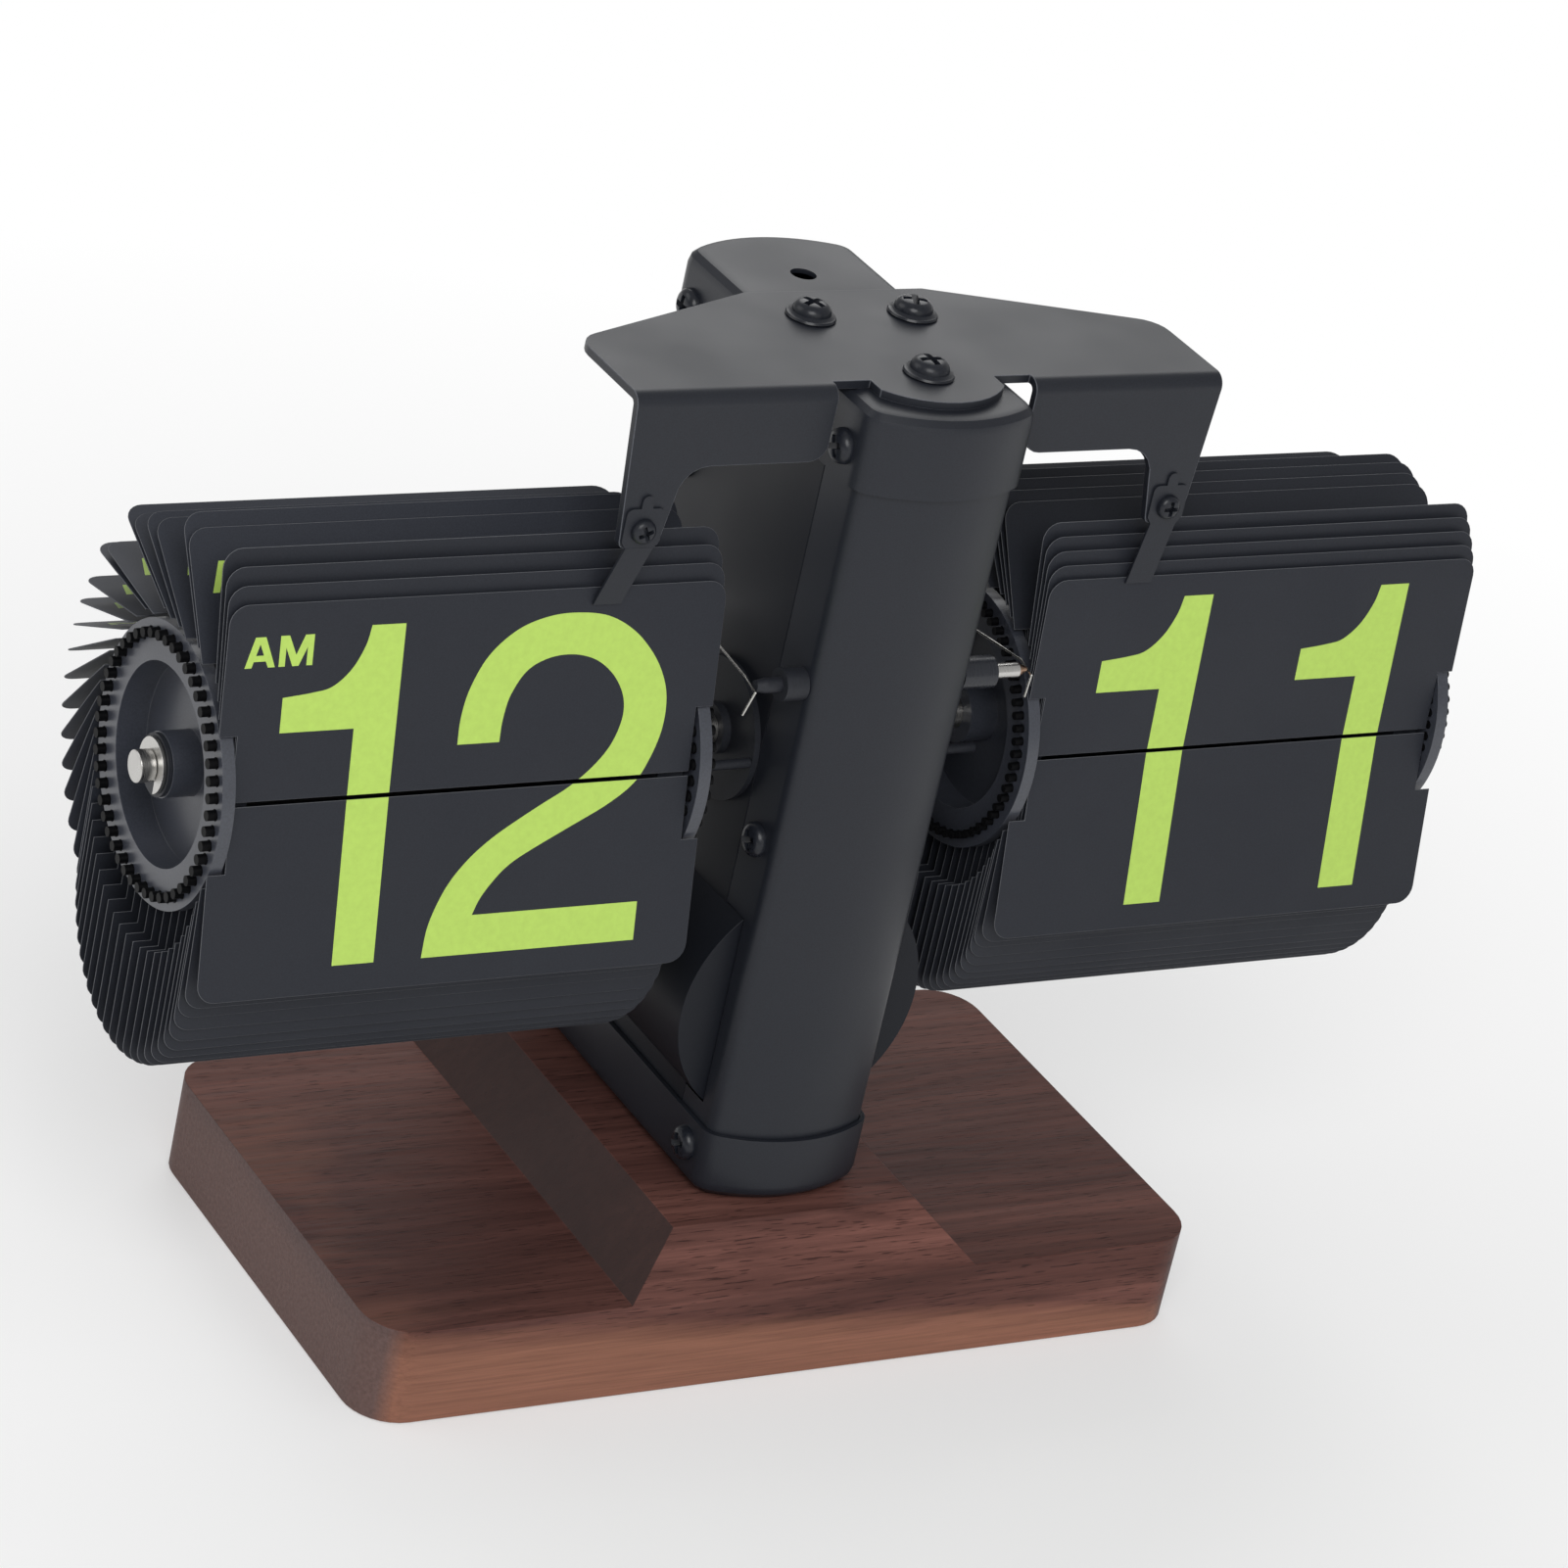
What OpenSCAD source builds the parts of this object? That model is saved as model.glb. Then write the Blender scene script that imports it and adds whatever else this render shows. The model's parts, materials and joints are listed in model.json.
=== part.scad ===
// Desk flip clock: two flap reels on a sheet metal column that stands on a wooden base.
// Millimetres, +Z up, +X to the viewer's right, the front faces -Y.
// The origin is the middle of the base's underside.

/* [Base] */
// Width of the wooden base
base_w = 150.8; // [130:0.2:180]
// Depth of the wooden base
base_d = 81.4; // [76:0.2:110]
// Height of the base plate
base_h = 16.7; // [12:0.1:24]
// Radius of the base's upright corners
base_corner_r = 8; // [3:0.5:14]
// Height of the raised ridge above the plate
ridge_h = 8.9; // [5:0.1:14]
// Width of the ridge's flat top
ridge_top_w = 44.7; // [36:0.1:60]
// Run of the ridge's side slopes
ridge_side_run = 9.3; // [4:0.1:14]
// Run of the ridge's front and rear slopes
ridge_end_run = 7.4; // [3:0.1:9]
// Diameter of a felt pad under the base
pad_d = 11; // [6:0.5:16]
// Thickness of a felt pad, sunk flush
pad_t = 1.5; // [1:0.1:3]
// Distance from the base's edges to a pad's centre
pad_inset = 13; // [10:0.5:20]

/* [Column] */
// Outer width of the column's covers
column_w = 28; // [26.5:0.1:30]
// Reach of the front cover's nose in front of the origin
column_front = 29.4; // [27:0.1:33]
// Reach of the rear cover behind the origin
column_rear = 37.2; // [34:0.1:39]
// Radius of the bowed front and rear faces
column_end_r = 25.6; // [22:0.1:40]
// Radius of the column's upright edges
column_corner_r = 3; // [2:0.1:5]
// Thickness of the cover sheet
sheet_t = 0.8; // [0.6:0.1:1.2]
// Seam of front cover and side plate, in front of the origin
front_seam = 15.5; // [15:0.1:17]
// Seam of rear cover and side plate, behind the origin
rear_seam = 26.2; // [24:0.1:29]
// Gap between two sheets at a seam
seam_gap = 0.2; // [0.1:0.05:0.4]

/* [Cap and tray] */
// Height of the cap's top above the table
cap_top = 163; // [158:0.5:175]
// Height of the cap's skirt
cap_h = 13.1; // [10:0.1:18]
// Height of the tray at the foot of the column
tray_h = 11.6; // [10:0.1:14]
// Gap between the covers and the cap or tray round them
wrap_gap = 0.1; // [0.05:0.05:0.3]
// Rounding of the cap's upper edge
cap_edge_r = 2.4; // [0.8:0.1:2.8]
// Rounding of the tray's lower edge
tray_edge_r = 3; // [1:0.1:4]
// Diameter of the hole in the cap's top
cap_hole_d = 4.2; // [2:0.1:5]
// Place of the cap's hole behind the origin
cap_hole_y = 22.4; // [20:0.1:27]
// Depth of the side screws below the cap's top
cap_screw_drop = 8; // [6:0.1:9]
// Height of the side screws above the tray's underside
tray_screw_rise = 6.9; // [5.5:0.1:8]
// Front side screws, in front of the origin
front_screw_y = 20.5; // [19.5:0.1:22]
// Rear side screws, behind the origin
rear_screw_y = 28.8; // [28.6:0.1:31]

/* [Bridge bracket] */
// Width of the bridge bracket
bridge_w = 103.4; // [96:0.2:120]
// Thickness of the bracket's sheet
bridge_t = 1.4; // [1:0.1:2]
// Front face of the bracket's flange, in front of the origin
bridge_front = 20.5; // [20:0.1:22]
// Rear edge of the bracket, behind the origin
bridge_rear = 13.4; // [11:0.1:18]
// Width of the bracket's rear edge
bridge_rear_w = 32; // [28:0.5:44]
// Radius of the bracket's side tips
bridge_tip_r = 5; // [2:0.5:6]
// Outer radius of the fold between plate and flange
bridge_fold_r = 2.2; // [2.1:0.1:3]
// Length of the bracket's straight sides
bridge_side = 14.3; // [10:0.1:18]
// Height of the flange between the arms
flange_h = 12; // [9:0.5:16]
// Half of the gap between the two flanges
flange_inner = 17.5; // [16.5:0.1:20]
// Height of an arm's lower end above the reels' axis
arm_clear = 41.1; // [40.6:0.1:43]
// Width of an arm's lower end
arm_w = 6.8; // [6.4:0.1:9]
// Inset of an arm's lower end from the bracket's side
arm_inset = 1.6; // [1:0.1:4]
// Half width of the tongue over the cap
tongue_half = 10.9; // [9:0.1:13]
// Reach of the tongue's nose in front of the origin
tongue_front = 26.3; // [25:0.1:28]
// Radius of the tongue's bowed nose
tongue_r = 14; // [13.2:0.1:20]

/* [Fingers] */
// Width of a finger's leaf
finger_w = 4.7; // [3:0.1:6]
// Thickness of a finger's spring sheet
finger_t = 0.4; // [0.2:0.05:0.6]
// Reach of the leaf below the arm's end
finger_reach = 9.9; // [8:0.1:11]
// Sideways lean of the leaf at its tip
finger_skew = 2.4; // [0:0.1:4]
// Gap between a finger's tip and the flap that it holds
finger_gap = 0.1; // [0.05:0.05:0.3]
// Height of a finger's screw above the arm's end
finger_screw_rise = 3; // [2.6:0.1:4]

/* [Reels] */
// Height of the reels' axis above the table
axis_z = 98.3; // [96:0.1:104]
// Place of the reels' axis behind the origin
axis_y = -4; // [-5:0.1:-2]
// Distance from the middle to a reel's inner end
reel_inner = 28.4; // [28.2:0.1:34]
// Width of a flap
flap_w = 82.1; // [70:0.1:95]
// Length of a flap from its hinge line to its free edge
flap_reach = 29.25; // [27:0.05:30]
// Thickness of a flap
flap_t = 0.2; // [0.15:0.01:0.22]
// Gap between two flaps that lie on each other
flap_gap = 0.14; // [0.12:0.01:0.18]
// Radius of a flap's free corners
flap_corner_r = 3; // [1:0.1:5]
// Depth of the notch in a flap's side that clears the disc
notch_depth = 2.9; // [2.8:0.1:4.5]
// Length of the notch from the hinge line
notch_reach = 9.3; // [9.2:0.1:11]
// Slit between the two halves of the display
display_slit = 0.7; // [0.5:0.05:0.9]
// Flaps on the hour reel, two for each hour of the day
hour_flaps = 48; // [44:1:48]
// Flaps on the minute reel, one for each minute
minute_flaps = 60; // [56:1:60]
// Angle of the hour display's slit, from the rear over the top
hour_slit_angle = 169.5; // [167:0.5:172]
// Angle of the minute display's slit, from the rear over the top
minute_slit_angle = 174.5; // [172:0.5:176]
// Backward lean of the held hour flap
hour_front_lean = 9.5; // [6:0.1:11]
// Backward lean of the held minute flap
minute_front_lean = 4.8; // [2:0.1:5]
// Added lean of each flap behind the held one
stack_step = 1.2; // [0.8:0.1:1.6]
// Flaps in the upright stack of the hour display
hour_stack = 4; // [3:1:5]
// Flaps in the upright stack of the minute display
minute_stack = 5; // [3:1:6]
// How strongly the flaps of the fan cling together
fan_cling = 1; // [0:0.1:1]
// Diameter of a reel shaft
shaft_d = 5; // [4:0.1:6]
// Reach of a shaft's end beyond its reel
shaft_out = 3.5; // [2.4:0.1:6]
// Radius of a reel disc
disc_r = 21.7; // [20.5:0.1:21.8]
// Thickness of a disc's rim
disc_t = 2.1; // [1.8:0.1:2.2]
// Radius of the recess in a disc
recess_r = 15.4; // [12:0.1:16.5]
// Depth of the recess in a disc
recess_depth = 5; // [3.5:0.1:7]
// Wall and floor of a disc's cup
cup_t = 1.4; // [1:0.1:2]
// Radius of a disc's hub
hub_r = 5; // [4:0.1:6]
// Radius of the ring of flap pins
pin_ring_r = 19.6; // [19.4:0.1:19.8]
// Share of the pins' spacing that a pin takes
pin_share = 0.62; // [0.4:0.02:0.66]
// Radial clearance of a flap pin in its hole
pin_clear = 0.1; // [0.05:0.01:0.12]
// How far a flap pin stands out of its disc
pin_out = 1.4; // [0.4:0.1:1.6]
// Radius of the spool between the two discs
core_r = 7; // [6:0.5:10]

/* [Movement] */
// Gear module of the minute train
minute_module = 0.65; // [0.62:0.01:0.66]
// Teeth on a pinion
pinion_teeth = 12; // [12:1:12]
// Teeth on a minute train wheel
wheel_teeth = 48; // [48:1:48]
// Teeth on the hour wheel
hour_teeth = 72; // [72:1:72]
// Width of a gear
gear_w = 2.2; // [1.6:0.1:2.4]
// Thickness of the middle plate that carries the gears
plate_t = 3; // [2.5:0.1:3.4]
// Diameter of the round plate on a shaft bush
bush_plate_d = 22.8; // [16:0.2:23]
// Thickness of the round plate on a shaft bush
bush_plate_t = 1; // [0.8:0.1:1.4]
// Diameter of the lay shaft
lay_d = 3; // [2:0.1:4]
// Radial running clearance of shafts
run_clear = 0.05; // [0.03:0.01:0.1]
// Diameter of a frame pillar
pillar_d = 4; // [3:0.1:4.4]
// Length of the motor case along the column's depth
motor_l = 16; // [14:0.5:17]
// Height of the motor case
motor_h = 26; // [22:1:30]
// Diameter of the motor's shaft
motor_shaft_d = 2; // [1.5:0.1:2.5]
// Diameter of a click spring's wire
wire_d = 0.4; // [0.3:0.05:0.6]

/* [Battery] */
// Diameter of the cell
cell_d = 34.2; // [32:0.1:34.6]
// Length of the cell over its button
cell_l = 61.5; // [58:0.1:62]
// Height of the battery tube's axis above the table
tube_z = 57; // [55:0.5:58]
// Front face of the battery bulge, in front of the origin
bulge_front = 21; // [20.5:0.1:22]
// Gap between the cell and its tube
cell_gap = 0.5; // [0.3:0.1:0.8]
// Wall of the battery tube
tube_wall = 2.8; // [1.6:0.1:3]
// Gap between the tube and the sheet round it
bulge_gap = 0.3; // [0.2:0.05:0.5]
// Room for the contact at each end of the cell
contact_room = 1.2; // [1:0.1:2.4]
// Thickness of the battery cap's disc
battery_cap_t = 2.4; // [2:0.1:4]
// Gap round the battery cap
battery_cap_gap = 0.3; // [0.2:0.05:0.5]

/* [Screws] */
// Shank diameter of the bracket's screws
bracket_screw_d = 4; // [3:0.1:4.5]
// Flange diameter of the bracket's screws
bracket_head_d = 8; // [7:0.1:9]
// Shank diameter of the side and base screws
side_screw_d = 3; // [2:0.1:3.2]
// Head diameter of the side screws
side_head_d = 5.6; // [4.8:0.1:6]
// Height of a side screw's head
side_head_h = 1.8; // [1.2:0.1:2.4]
// Shank diameter of the finger and motor screws
small_screw_d = 2; // [1.6:0.1:2.2]
// Head diameter of the finger and motor screws
small_head_d = 4; // [3.4:0.1:4.4]
// Clearance of a screw's hole all round
hole_clear = 0.1; // [0.05:0.01:0.2]

/* [Hidden] */
$fn = 48;
black = "#1c1d1f";
charcoal = "#2b2d30";
walnut = "#5a3128";
steel = "#b9bcc0";
brass = "#b08d3e";
LEFT = -1;
RIGHT = 1;
HOUR = LEFT;
MINUTE = RIGHT;

ridge_top = base_h + ridge_h;
tray_top = ridge_top + tray_h;
half_w = column_w / 2;
inner_half = half_w - sheet_t;
cover_bottom = ridge_top + tray_edge_r + wrap_gap;
cover_top = cap_top - sheet_t - wrap_gap;
wrap_grow = wrap_gap + sheet_t;
wrap_half = half_w + wrap_grow;

bridge_half = bridge_w / 2;
bridge_top = cap_top + bridge_t;
arm_end_z = axis_z + arm_clear;
arm_drop = bridge_top - arm_end_z;
arm_mid = bridge_half - arm_inset - arm_w / 2;
nose_screw_back = 9.8;
rear_screw_in = 6.9;
rear_screw_ahead = 9.1;
bracket_screw_x = bridge_rear_w / 2 - rear_screw_in;
bracket_screw_y = bridge_rear - rear_screw_ahead;
bracket_screw_spots = [[0, nose_screw_back - tongue_front], [-bracket_screw_x, bracket_screw_y],
                       [bracket_screw_x, bracket_screw_y]];

shaft_r = shaft_d / 2;
reel_outer = reel_inner + flap_w;
shaft_end = reel_outer + shaft_out;
inner_inset = 0.1;
outer_inset = 0.5;
disc_inner_face = reel_inner + inner_inset;
disc_outer_face = reel_outer - outer_inset;
pin_tip_gap = 0.2;
washer_t = 0.6;
clip_t = 0.6;
clip_reach = 1.8;
end_gap = 0.1;
groove_depth = 0.4;

gear_gap = plate_t / 2 + 3.1;
wheel_gap = gear_gap + gear_w + 1.2;
train_distance = minute_module * (pinion_teeth + wheel_teeth) / 2;
hour_module = 2 * train_distance / (pinion_teeth + hour_teeth);
lay_z = axis_z + train_distance;
motor_y = axis_y + train_distance;
boss_len = 2.6;
pillar_r = pillar_d / 2;
plate_rim = 0.6;
frame_screw_ahead = 15.8;
frame_screw_drop = 11.2;
frame_screw_y = axis_y - frame_screw_ahead;
frame_screw_z = axis_z - frame_screw_drop;
plate_low = tube_z + cell_d / 2 + cell_gap + tube_wall + 2.4;
plate_high = lay_z + train_distance;
plate_front = frame_screw_y - pillar_r - plate_rim;
plate_rear = motor_y - 2.8;
low_pillar_back = 13.5;
high_pillar_back = 7;
high_pillar_rise = 13.7;
skirt_clear = side_head_d / 2 + 0.6;
high_pillar_z = min(lay_z + high_pillar_rise, cap_top - cap_h - skirt_clear);
plate_arm_l = 14.6;
plate_arm_h = 12;
pillar_spots = [[frame_screw_y, frame_screw_z], [axis_y + low_pillar_back, plate_low + pillar_r + 0.2],
                [motor_y + high_pillar_back, high_pillar_z]];
ear_t = 1.2;
ear_y = motor_y - 7;
ear_rises = [-10, 8];

tube_inner_r = cell_d / 2 + cell_gap;
tube_outer_r = tube_inner_r + tube_wall;
bulge_inner_r = tube_outer_r + bulge_gap;
bulge_r = bulge_inner_r + sheet_t;
tube_front_y = -bulge_front + sheet_t + bulge_gap;
tube_floor_t = 0.8;
cell_front_y = tube_front_y + tube_floor_t + contact_room;
cell_rear_y = cell_front_y + cell_l;
plug_l = 1.6;
cap_face_y = cell_rear_y + contact_room + battery_cap_gap + plug_l;
contact_t = 0.4;
cell_button_r = 4.75;
cell_button_h = 1.5;

// Points of an arc about a centre, both ends included
function arc(c, r, a0, a1, steps = 8) =
  [for (i = [0:steps]) c + r * [cos(a0 + (a1 - a0) * i / steps), sin(a0 + (a1 - a0) * i / steps)]];

// Right half of one bowed end of the column: the edge round, then the bow to the middle
function bow(half, tip, r, edge_r) =
  let (mid = tip + r,
       edge_x = half - edge_r,
       edge_y = mid - sqrt(pow(r - edge_r, 2) - pow(edge_x, 2)),
       turn = atan2(edge_y - mid, edge_x))
  concat(arc([edge_x, edge_y], edge_r, 0, turn, 4), arc([0, mid], r, turn, -90, 8));

function mirrored(points) = [for (i = [len(points) - 1:-1:0]) [-points[i].x, points[i].y]];
function flipped(points) = [for (i = [len(points) - 1:-1:0]) [points[i].x, -points[i].y]];

// Plan outline of the column, grown or shrunk all round
function column_outline(grow) =
  let (front = bow(half_w + grow, -column_front - grow, column_end_r + grow, column_corner_r + grow),
       rear = bow(half_w + grow, -column_rear - grow, column_end_r + grow, column_corner_r + grow))
  concat(front, mirrored(front), flipped(mirrored(rear)), flipped(rear));

// A slice of the column between two heights
module column_slice(grow, z0, z1) {
  translate([0, 0, z0])
    linear_extrude(z1 - z0) polygon(column_outline(grow));
}

// A hollow column of sheet between two heights
module column_shell(z0, z1) {
  difference() {
    column_slice(0, z0, z1);
    column_slice(-sheet_t, z0 - 1, z1 + 1);
  }
}

// A block between two places along the depth, wider than the column
module depth_band(y0, y1) {
  translate([-column_w, y0, 0]) cube([2 * column_w, y1 - y0, cap_top + 1]);
}

// A cylinder along X between two places
module rod_x(x0, x1, r) {
  translate([min(x0, x1), 0, 0]) rotate([0, 90, 0]) cylinder(r = r, h = abs(x1 - x0));
}

// A cylinder along Y between two places
module rod_y(y0, y1, r) {
  translate([0, y0, 0]) rotate([-90, 0, 0]) cylinder(r = r, h = y1 - y0);
}

// A pan head screw along +Z: seat at zero, head above, shank below
module pan_screw(shank_d, head_d, head_h, shank_l, flange_t = 0) {
  crown_r = flange_t > 0 ? head_d * 0.39 : head_d / 2;
  slot_l = head_d * 0.5;
  slot_w = head_d * 0.13;
  difference() {
    union() {
      translate([0, 0, -shank_l]) cylinder(d = shank_d, h = shank_l);
      if (flange_t > 0) cylinder(d = head_d, h = flange_t);
      translate([0, 0, flange_t]) cylinder(r = crown_r, h = head_h * 0.45);
      translate([0, 0, flange_t + head_h * 0.45])
        cylinder(r1 = crown_r, r2 = crown_r * 0.72, h = head_h * 0.55);
    }
    for (turn = [0, 90])
      translate([0, 0, flange_t + head_h])
        rotate(turn) cube([slot_l, slot_w, head_h * 1.2], center = true);
  }
}

// Places its children on one side of the column, +Z outwards
module on_side(side, out, y, z) {
  translate([side * out, y, z]) rotate([0, side * 90, 0]) children();
}

// Wooden base

module base_plan() {
  x = base_w / 2 - base_corner_r;
  y = base_d / 2 - base_corner_r;
  polygon(concat(arc([x, y], base_corner_r, 0, 90), arc([-x, y], base_corner_r, 90, 180),
                 arc([-x, -y], base_corner_r, 180, 270), arc([x, -y], base_corner_r, 270, 360)));
}

base_screw_spots = [-column_front / 2, column_rear * 0.6];
base_screw_seat = 6;

module wood_base() {
  foot_half = ridge_top_w / 2 + ridge_side_run;
  top_y = base_d / 2 - ridge_end_run;
  color(walnut) difference() {
    union() {
      linear_extrude(base_h) base_plan();
      intersection() {
        rotate([90, 0, 0]) translate([0, 0, -base_d / 2]) linear_extrude(base_d)
          polygon([[-foot_half, base_h], [foot_half, base_h],
                   [ridge_top_w / 2, ridge_top], [-ridge_top_w / 2, ridge_top]]);
        rotate([90, 0, 90]) translate([0, 0, -foot_half]) linear_extrude(2 * foot_half)
          polygon([[-base_d / 2, base_h], [base_d / 2, base_h], [top_y, ridge_top], [-top_y, ridge_top]]);
      }
    }
    pads(hole_clear);
    for (y = base_screw_spots) translate([0, y, 0]) {
      translate([0, 0, -1]) cylinder(d = side_screw_d + 4 * hole_clear, h = ridge_top + 2);
      translate([0, 0, -1]) cylinder(d = side_head_d + 1, h = base_screw_seat + 1);
    }
  }
}

module pads(grow) {
  for (sx = [-1, 1], sy = [-1, 1])
    translate([sx * (base_w / 2 - pad_inset), sy * (base_d / 2 - pad_inset), grow > 0 ? -1 : 0])
      cylinder(d = pad_d + 2 * grow, h = pad_t + (grow > 0 ? 1 : 0));
}

module base_pads() {
  color("#3a3a3a") pads(0);
}

module base_screws() {
  color(steel) for (y = base_screw_spots)
    translate([0, y, base_screw_seat]) rotate([180, 0, 0])
      pan_screw(side_screw_d, side_head_d, 2, ridge_top - base_screw_seat + 4);
}

// Column

module side_holes(y, z, d) {
  for (side = [LEFT, RIGHT])
    on_side(side, half_w - 4, y, z) cylinder(d = d + 2 * hole_clear, h = 8);
}

module wrap_holes() {
  for (y = [-front_screw_y, rear_screw_y]) {
    side_holes(y, cap_top - cap_screw_drop, side_screw_d);
    side_holes(y, ridge_top + tray_screw_rise, side_screw_d);
  }
}

// The tray's outside or inside: the column's outline with a rounded lower edge
module tray_body(grow, low, edge_r, high) {
  hull() {
    column_slice(grow, low + edge_r, high);
    for (a = [30, 60, 90])
      translate([0, 0, low + edge_r * (1 - sin(a))])
        linear_extrude(0.01) polygon(column_outline(grow - edge_r * (1 - cos(a))));
  }
}

module bottom_tray() {
  boss_r = side_screw_d / 2 + 1.6;
  color(black) difference() {
    union() {
      difference() {
        tray_body(wrap_grow, ridge_top, tray_edge_r, tray_top);
        tray_body(wrap_gap, ridge_top + sheet_t, tray_edge_r - sheet_t, tray_top + 1);
      }
      for (y = base_screw_spots) translate([0, y, ridge_top + sheet_t / 2])
        cylinder(r = boss_r, h = sheet_t / 2 + 4);
    }
    for (y = base_screw_spots) translate([0, y, ridge_top - 1])
      cylinder(d = side_screw_d + 2 * hole_clear, h = 8);
    wrap_holes();
    translate([0, 0, tube_z]) rod_y(0, column_rear + 9, bulge_r + bulge_gap);
  }
}

module front_cover() {
  color(black) difference() {
    intersection() {
      column_shell(cover_bottom, cover_top);
      depth_band(-column_front - 1, -front_seam - seam_gap / 2);
    }
    wrap_holes();
    side_holes(frame_screw_y, frame_screw_z, side_screw_d);
    side_holes(post_y, post_z, post_pin_d);
    bulge_cut();
  }
}

module bulge_cut() {
  translate([0, 0, tube_z]) rod_y(-bulge_front - bulge_gap, column_rear + 9, bulge_r + bulge_gap);
}

module rear_cover() {
  color(black) difference() {
    union() {
      intersection() {
        column_shell(cover_bottom, cover_top);
        depth_band(rear_seam + seam_gap / 2, column_rear + 1);
      }
      translate([0, 0, tube_z]) rod_y(rear_seam + seam_gap / 2, cap_face_y, bulge_r);
    }
    wrap_holes();
    translate([0, 0, tube_z]) rod_y(rear_seam - 1, cap_face_y + 1, bulge_inner_r);
  }
}

module side_plate(side) {
  color(black) difference() {
    union() {
      intersection() {
        column_shell(cover_bottom, cover_top);
        depth_band(-front_seam + seam_gap / 2, rear_seam - seam_gap / 2);
        translate([side > 0 ? 0 : -column_w, -column_w, 0]) cube([column_w, 2 * column_w, cap_top]);
      }
      intersection() {
        translate([0, 0, tube_z]) rod_y(-bulge_front, rear_seam - seam_gap / 2, bulge_r);
        translate([side > 0 ? inner_half : -inner_half - column_w, -column_w, 0])
          cube([column_w, 3 * column_w, cap_top]);
      }
      translate([0, axis_y, lay_z]) rod_x(side * (inner_half - boss_len), side * inner_half, lay_d / 2 + 1.4);
    }
    translate([0, 0, tube_z]) rod_y(-bulge_front + sheet_t, rear_seam + 1, bulge_inner_r);
    translate([0, axis_y, axis_z]) rod_x(0, side * (half_w + 1), bush_r + run_clear);
    translate([0, axis_y, lay_z])
      rod_x(side * (inner_half - boss_len - 1), side * inner_half, lay_d / 2 + run_clear);
    for (spot = [pillar_spots[1], pillar_spots[2]])
      side_holes(spot.x, spot.y, side_screw_d);
  }
}

module left_side_plate() {
  side_plate(LEFT);
}

module right_side_plate() {
  side_plate(RIGHT);
}

module top_cap() {
  color(black) difference() {
    hull() {
      column_slice(wrap_grow, cap_top - cap_h, cap_top - cap_edge_r);
      for (a = [30, 60, 90])
        translate([0, 0, cap_top - cap_edge_r * (1 - sin(a)) - 0.01])
          linear_extrude(0.01) polygon(column_outline(wrap_grow - cap_edge_r * (1 - cos(a))));
    }
    column_slice(wrap_gap, cap_top - cap_h - 1, cap_top - sheet_t);
    wrap_holes();
    translate([0, cap_hole_y, cap_top - sheet_t - 1]) cylinder(d = cap_hole_d, h = sheet_t + 2);
    for (spot = bracket_screw_spots) translate([spot.x, spot.y, cap_top - sheet_t - 1])
      cylinder(d = bracket_screw_d + 2 * hole_clear, h = sheet_t + 2);
  }
}

module wrap_screws(z) {
  for (side = [LEFT, RIGHT], y = [-front_screw_y, rear_screw_y])
    on_side(side, wrap_half, y, z) pan_screw(side_screw_d, side_head_d, side_head_h, wrap_grow + sheet_t + 1.5);
}

module cap_screws() {
  color(black) wrap_screws(cap_top - cap_screw_drop);
}

module tray_screws() {
  color(black) wrap_screws(ridge_top + tray_screw_rise);
}

module frame_screws() {
  color(black) for (side = [LEFT, RIGHT], spot = pillar_spots)
    on_side(side, half_w, spot.x, spot.y) pan_screw(side_screw_d, side_head_d, side_head_h, sheet_t + 3);
}

// Bridge bracket

module bridge_bracket() {
  fold_y = -bridge_front + bridge_fold_r;
  fold_z = bridge_top - bridge_fold_r;
  relief = 0.5;
  cut = 2 * bridge_fold_r;
  tip_y = fold_y + bridge_side;
  notch_y = fold_y + relief;
  tip = [bridge_half - bridge_tip_r, tip_y];
  slope = atan2(bridge_half - bridge_rear_w / 2, bridge_rear - tip_y - bridge_tip_r);
  half_plan = concat(
    [[0, bridge_rear], [bridge_rear_w / 2, bridge_rear]],
    arc(tip, bridge_tip_r, slope, 0, 5),
    [[bridge_half, fold_y], [flange_inner, fold_y], [flange_inner, notch_y], [tongue_half, notch_y]],
    arc([0, tongue_r - tongue_front], tongue_r, -acos(tongue_half / tongue_r), -90, 6));
  color(black) difference() {
    union() {
      translate([0, 0, cap_top]) linear_extrude(bridge_t)
        polygon(concat(half_plan, mirrored(half_plan)));
      for (side = [LEFT, RIGHT]) mirror([side > 0 ? 0 : 1, 0, 0]) {
        bridge_flange();
        translate([0, fold_y, fold_z]) difference() {
          rod_x(flange_inner, bridge_half, bridge_fold_r);
          rod_x(flange_inner - 1, bridge_half + 1, bridge_fold_r - bridge_t);
          translate([0, 0, -cut]) cube([bridge_w, cut, 2 * cut]);
          translate([0, -cut, -cut]) cube([bridge_w, 2 * cut, cut]);
        }
      }
    }
    for (spot = bracket_screw_spots) translate([spot.x, spot.y, cap_top - 1])
      cylinder(d = bracket_screw_d + 2 * hole_clear, h = bridge_t + 2);
    for (side = [LEFT, RIGHT]) translate([side * arm_mid, 0, arm_end_z + finger_screw_rise])
      rod_y(-bridge_front - 1, -bridge_front + bridge_t + 1, small_screw_d / 2 + hole_clear);
  }
}

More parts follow.
